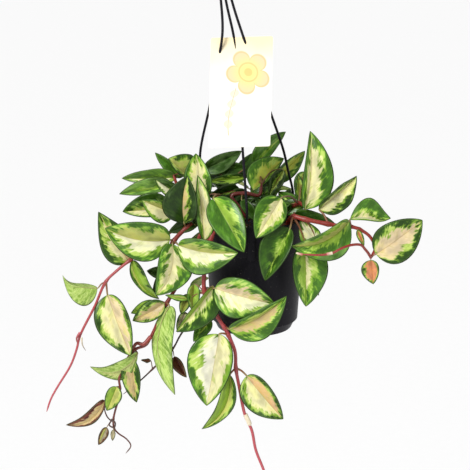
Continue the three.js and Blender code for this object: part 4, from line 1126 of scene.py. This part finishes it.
def hookPiece():
    # the bar rises from the hub, turns out and goes over the crown
    h = hangerTable
    centre = -h["innerRadius"]
    circle = h["innerRadius"] + h["barRadius"]
    route = [(x, h["hubTop"] + z) for x, z in h["shank"]]
    route.append((h["turn"][0], centre + h["turn"][1]))
    for k in range(h["arcSteps"] + 1):
        angle = math.radians(h["startAngle"] + h["openAngle"] * k / h["arcSteps"])
        route.append((circle * math.cos(angle), centre + circle * math.sin(angle)))
    route.append((route[-1][0] + h["nose"][0], route[-1][1] + h["nose"][1]))
    path = smoothPath([Vector((x, 0, z)) for x, z in route], h["hookSteps"])
    run = []
    for i, place in enumerate(path):
        left = len(path) - 1 - i
        radius = h["tipRadius"] + (h["barRadius"] - h["tipRadius"]) * min(1, left / 5)
        run.append((place, radius * min(1, 0.55 + left * 0.25), dark))
    return tubePiece("hanger_hook_bar", [run], plasticTubes, {"Sides": 24})


def hubPiece():
    h = hangerTable
    low = h["hubTop"] - h["hubHeight"]
    profile = roundedProfile([
        (0, low), (h["hubRadius"] - 1, low), (h["hubRadius"], low + 1.5), (h["hubRadius"], h["hubTop"] - 6),
        (h["hubRadius"] - 4, h["hubTop"]), (0, h["hubTop"]),
    ], 1.2)
    return newPiece("hanger_hub", latheShape(profile, 48, Vector((0, 0, 0))), blackPlastic, 60)


cardTable = {
    "width": 71, "height": 126, "thickness": 0.8, "twist": 0.03, "corner": 2.2, "cornerSteps": 4,
    "slit": 0.25, "top": (8.4, 237.5, 18), "foot": (5, 106, 51), "flower": (6, 40), "petals": (15, 11),
    "sprig": (56, 114),
}
cardTop = seen(cardTable["top"])
cardDown = (seen(cardTable["foot"]) - cardTop).normalized()
cardAcross = Vector((1, 0, cardTable["twist"])).normalized()
cardOut = cardDown.cross(cardAcross).normalized()


def paintCard(board):
    # coated card: a soft gold flower on a sprig over a pale wash
    across, down, side = board.split(board.read("sheet"))
    place = board.place()
    fibre = board.noise(place, 900.0, 3.0)
    cloud = board.noise(place, 26.0, 3.0)
    white = linear("efece4")
    wash = board.mix(1 - board.smooth(down + cloud * 46, 16.0, 80.0), white, linear("f6e3b4"))
    wash = board.mix(board.smooth(down - cloud * 20, 84.0, 118.0) * 0.5, wash, linear("f0e4cc"))

    # the flower: five broad petals round a centre, its size set by its bearing
    x, y = across - cardTable["flower"][0], down - cardTable["flower"][1]
    distance = (x * x + y * y) ** 0.5
    bearing = board.node("ShaderNodeMath", {"operation": "ARCTAN2"}, {0: y, 1: x})
    petals = board.absolute(board.sine(bearing * 2.5 + 0.4)) ** 0.6
    size = petals * cardTable["petals"][1] + cardTable["petals"][0]
    flower = 1 - board.smooth(distance - size, -0.7, 0.7)
    border = board.line(distance - size, -1.6, 1.3)
    ring = board.line(distance, 10.5, 1.1)
    eyeSpot = 1 - board.smooth(distance, 4.0, 5.2)
    gold = board.mix(board.smooth(distance + cloud * 9, 8.0, 30.0), linear("eed888"), linear("ebcaa2"))
    gold = board.mix(border * 0.4 + ring * 0.5 + eyeSpot * 0.5, gold, linear("d3a860"))

    # the sprig: a curved line with leaves along it
    bow = board.sine(down * 0.045) * 7 - 12
    start, end = cardTable["sprig"]
    stalk = board.line(across - bow, 0.0, 0.8) * board.smooth(down, start, start + 4)
    stalk = stalk * (1 - board.smooth(down, end - 2, end))
    beat = board.maths("FRACT", down * 0.085)
    blade = board.sine(beat * math.pi) * 5.2
    reach = board.absolute(across - bow)
    isLeaf = (1 - board.smooth(reach - blade, -0.5, 0.5)) * board.smooth(reach, 0.6, 1.2)
    isLeaf = isLeaf * board.smooth(down, 60.0, 61.0) * (1 - board.smooth(down, 105.0, 106.0))
    tint = board.mix(isLeaf * 0.5, wash, linear("e0cb8c"))
    tint = board.mix(stalk * 0.7, tint, linear("cba255"))
    tint = board.mix(flower, tint, gold)
    tint = board.mix(board.above(0.5, side), tint, white)
    tint = board.mix(fibre * 0.06, tint, tint * 0.8)
    return {"Base Color": tint, "Roughness": 0.42 + fibre * 0.12, "Normal": board.bump(fibre, 0.06, 0.2)}


def cardPiece():
    c = cardTable
    radius = c["corner"]
    shape = bmesh.new()
    corners = []
    for x, y, start in ((0.5, 1, 0), (-0.5, 1, 90), (-0.5, 0, 180), (0.5, 0, 270)):
        centre = (x * c["width"] - math.copysign(radius, x), y * c["height"] + radius * (1 - 2 * y))
        for k in range(c["cornerSteps"] + 1):
            angle = math.radians(start + 90 * k / c["cornerSteps"])
            corners.append((centre[0] + radius * math.cos(angle), centre[1] + radius * math.sin(angle)))
    rings = []
    for side in (-0.5, 0.5):
        rings.append([shape.verts.new((x, y, side * c["thickness"])) for x, y in corners])
        shape.faces.new(rings[-1])
    for k in range(len(corners)):
        n = (k + 1) % len(corners)
        shape.faces.new([rings[0][k], rings[0][n], rings[1][n], rings[1][k]])
    stand = Matrix((cardAcross, cardDown, cardOut)).transposed()
    for vertex in shape.verts:
        vertex.co = (stand @ vertex.co + cardTop) * mm
    card = newPiece("card_sheet", shape, cardStock, 30)
    for name, leg in legs.items():
        run = [(place, hangerTable["legRadius"] + c["slit"], dark) for place in legPath(leg)]
        card = cutOut(card, tubePiece(f"slit_{name}", [run], plasticTubes, rodSizes))
    sheet = card.data.attributes.new("sheet", "FLOAT_VECTOR", "POINT")
    for vertex, spot in zip(card.data.vertices, sheet.data):
        place = vertex.co / mm - cardTop
        spot.vector = (place.dot(cardAcross), place.dot(cardDown), 1.0 if place.dot(cardOut) > 0 else 0.0)
    return card


cardStock = newMaterial("cardStock", {"Specular IOR Level": 0.4}, paintCard)

print("pot and soil")
settle([potPiece()], "pot")
soil = soilPiece()
settle([soil], "soil")
settle([grow("soil_crumbs", soil.data.copy(), crumbTree(), {
    "Density": soilTable["density"], "Grain": soilTable["crumb"] * mm, "Seed": soilTable["seed"],
})])

print("hanger")
settle([hookPiece(), hubPiece()], "hanger_hook")
for name, leg in legs.items():
    run = [(place, hangerTable["legRadius"], dark) for place in legPath(leg)]
    rod = tubePiece(f"leg_{name}_rod", [run], plasticTubes, rodSizes)
    settle([rod, clipPiece(f"leg_{name}_clip", leg)], f"hanger_leg_{name}")

print("card")
settle([cardPiece()], "plant_card")

fillTable = {
    "shoots": 7, "seed": 77, "first": 22, "fan": 136, "step": 0.618, "spread": 44, "depth": 20, "stray": 6,
    "rise": (-6, 10), "length": (30, 42), "share": 0.06, "margins": ("dark", "forest", "dark", "forest"),
    "bendAt": 0.55, "bend": 4, "lift": (0.25, 0.9), "upturn": (0.5, 1.2), "petiole": 7, "width": 0.5,
    "fold": 3, "patch": 0.2, "flatness": 0.6,
}


def crownFill():
    # short young shoots deep in the crown, behind its middle, each with two pairs of dark leaves
    f = fillTable
    draw = drawer(f["seed"])
    leaves, runs = [], []
    for k in range(f["shoots"]):
        angle = f["first"] + f["fan"] * ((k * f["step"]) % 1)
        radius = f["spread"] * (0.5 + 0.5 * ((k + 0.5) / f["shoots"]) ** 0.5)
        foot = potCentre + around(angle, radius, -f["depth"])
        shift = (draw(-f["stray"], f["stray"]), draw(-f["stray"], f["stray"]))
        top = foot + Vector((*shift, f["depth"] + draw(*f["rise"])))
        bend = Vector((draw(-f["bend"], f["bend"]), draw(-f["bend"], f["bend"]), 0))
        points = [foot, foot.lerp(top, f["bendAt"]) + bend, top]
        own = []
        for at in (1, 2):
            turn = draw(0, math.pi)
            for way in (0, math.pi):
                across, back = math.cos(turn + way), math.sin(turn + way) * f["flatness"]
                towards = Vector((across, back, draw(*f["lift"])))
                facing = Vector((0, -1, draw(*f["upturn"])))
                length = draw(*f["length"])
                looks = ("lime", "lime", f["margins"][int(draw(0, 3.999))])
                start = points[at] + towards.normalized() * f["petiole"]
                covers, width = (draw(0, f["share"]), 0, f["patch"]), length * f["width"]
                own.append(grownLeaf(at, start, towards, facing, length, width, f["fold"], looks, covers))
        shoot = {"girth": (1.8, 1.2), "bark": ("maroon", "red"), "points": points, "leaves": own}
        growShoot(shoot, points, leaves, runs)
    return leaves, runs


# dry threads, sheaths and twists on the stems: their routes, their thickness at both ends and their colours
trifles = {
    "vine_left_long": [
        ([(-184, -123, 49), (-183, -132, 52), (-179, -139, 53)], (1.1, 0.3), ("straw", "brown")),
        ([(-186, -117, 50), (-190, -124, 53), (-189, -131, 53)], (1.7, 0.4), ("rose", "scar")),
    ],
    "vine_lower_left": [
        ([(-101, -122, 51), (-110, -131, 54), (-118, -130, 52), (-124, -139, 51)], (2.6, 1.8),
         ("red", "scar")),
        ([(-149, -221, 50), (-144, -225, 52), (-145, -231, 51), (-151, -228, 50), (-146, -220, 50)],
         (1.0, 0.9), ("bark", "bark")),
        ([(-144, -200, 51), (-156, -205, 51), (-154, -217, 50), (-148, -224, 50)], (0.9, 0.8),
         ("brown", "bark")),
    ],
    "vine_right": [
        ([(117, -21.5, 92), (113, -22.5, 92), (109, -23, 92)], (1.9, 1.7), ("straw", "rose")),
        ([(81, -23.5, 90), (77, -22.5, 90), (73, -21.5, 89)], (1.5, 1.3), ("rose", "straw")),
    ],
    "vine_front": [
        ([(12.5, -215, 58), (15.5, -222, 58.5), (18.5, -229, 58)], (2.6, 3.0), ("straw", "straw")),
    ],
}


def stemPieces(name, leaves, runs, draw):
    # leaves and stems are two pieces, because their finishes differ
    green = bladesPiece(f"{name}_leaves", leaves, draw)
    return green, tubePiece(f"{name}_stems", runs, barkTubes, barkSizes)


print("stems and leaves")
for count, (name, plan) in enumerate(vines.items()):
    foot = potCentre + Vector((plan["root"][0], -plan["root"][1], -soilTable["belowRim"]))
    roots = [foot + Vector((0, 0, height)) for height in stemTable["inSoil"]]
    points = plan.get("points") or [seen(place) for place in plan["route"]]
    leaves, runs = [], []
    growShoot(plan, roots + points, leaves, runs)
    for route, girth, barks in trifles.get(name, []):
        runs.append(stemRun([seen(place) for place in route], girth, set(), barks))
    draw = drawer(stemTable["firstSeed"] + stemTable["seedStep"] * count)
    settle(stemPieces(name, leaves, runs, draw), name)
settle(stemPieces("crown_fill", *crownFill(), drawer(fillTable["seed"])))

print("stage")
stageTable = {
    "floorHeight": -1.6, "floorRadius": 30.0, "floorTones": (0.95, 0.97), "world": 0.5, "farthest": 60,
    "floorSides": 96,
}
lamps = {
    "key": ("AREA", (-0.9, -1.7, 0.5), {"energy": 9.0, "size": 0.6}),
    "fill": ("AREA", (1.6, -1.6, -0.4), {"energy": 2.0, "size": 2.0}),
    "sky": ("SUN", (-1.25, -1.9, 1.5), {"energy": 2.5, "angle": math.radians(22)}),
}


def paintFloor(board):
    # a matt pale sweep
    grain = board.noise(board.place(), 40.0, 2.0)
    low, high = stageTable["floorTones"]
    return {"Base Color": board.mix(grain, (low,) * 3, (high,) * 3), "Roughness": 0.9 + grain * 0.05}


floorShape = bmesh.new()
bmesh.ops.create_circle(floorShape, cap_ends=True, radius=stageTable["floorRadius"],
                        segments=stageTable["floorSides"],
                        matrix=Matrix.Translation((0, 0, stageTable["floorHeight"])))
floor = newPiece("floor", floorShape, newMaterial("paleFloor", {"Specular IOR Level": 0.1}, paintFloor))

world = bpy.data.worlds.new("softRoom")
bpy.context.scene.world = world
world.use_nodes = True
room = world.node_tree.nodes["Background"]
room.inputs["Color"].default_value = (1, 1, 1, 1)
room.inputs["Strength"].default_value = stageTable["world"]

for name, (kind, place, settings) in lamps.items():
    # each lamp points at the middle of the view
    lamp = bpy.data.lights.new(f"{name}Lamp", kind)
    for label, value in settings.items():
        setattr(lamp, label, value)
    made = bpy.data.objects.new(f"{name}Lamp", lamp)
    made.location = place
    made.rotation_euler = (view["aim"] * mm - Vector(place)).to_track_quat("-Z", "Y").to_euler()
    bpy.context.scene.collection.objects.link(made)

camera = bpy.data.cameras.new("camera")
camera.sensor_width = view["sensor"]
camera.lens = view["sensor"] * view["distance"] / view["width"]
camera.clip_end = stageTable["farthest"]
cameraObject = bpy.data.objects.new("camera", camera)
cameraObject.location = eye * mm
cameraObject.rotation_euler = (view["aim"] - eye).to_track_quat("-Z", "Y").to_euler()
bpy.context.scene.collection.objects.link(cameraObject)
bpy.context.scene.camera = cameraObject
bpy.context.scene.view_settings.view_transform = "Standard"
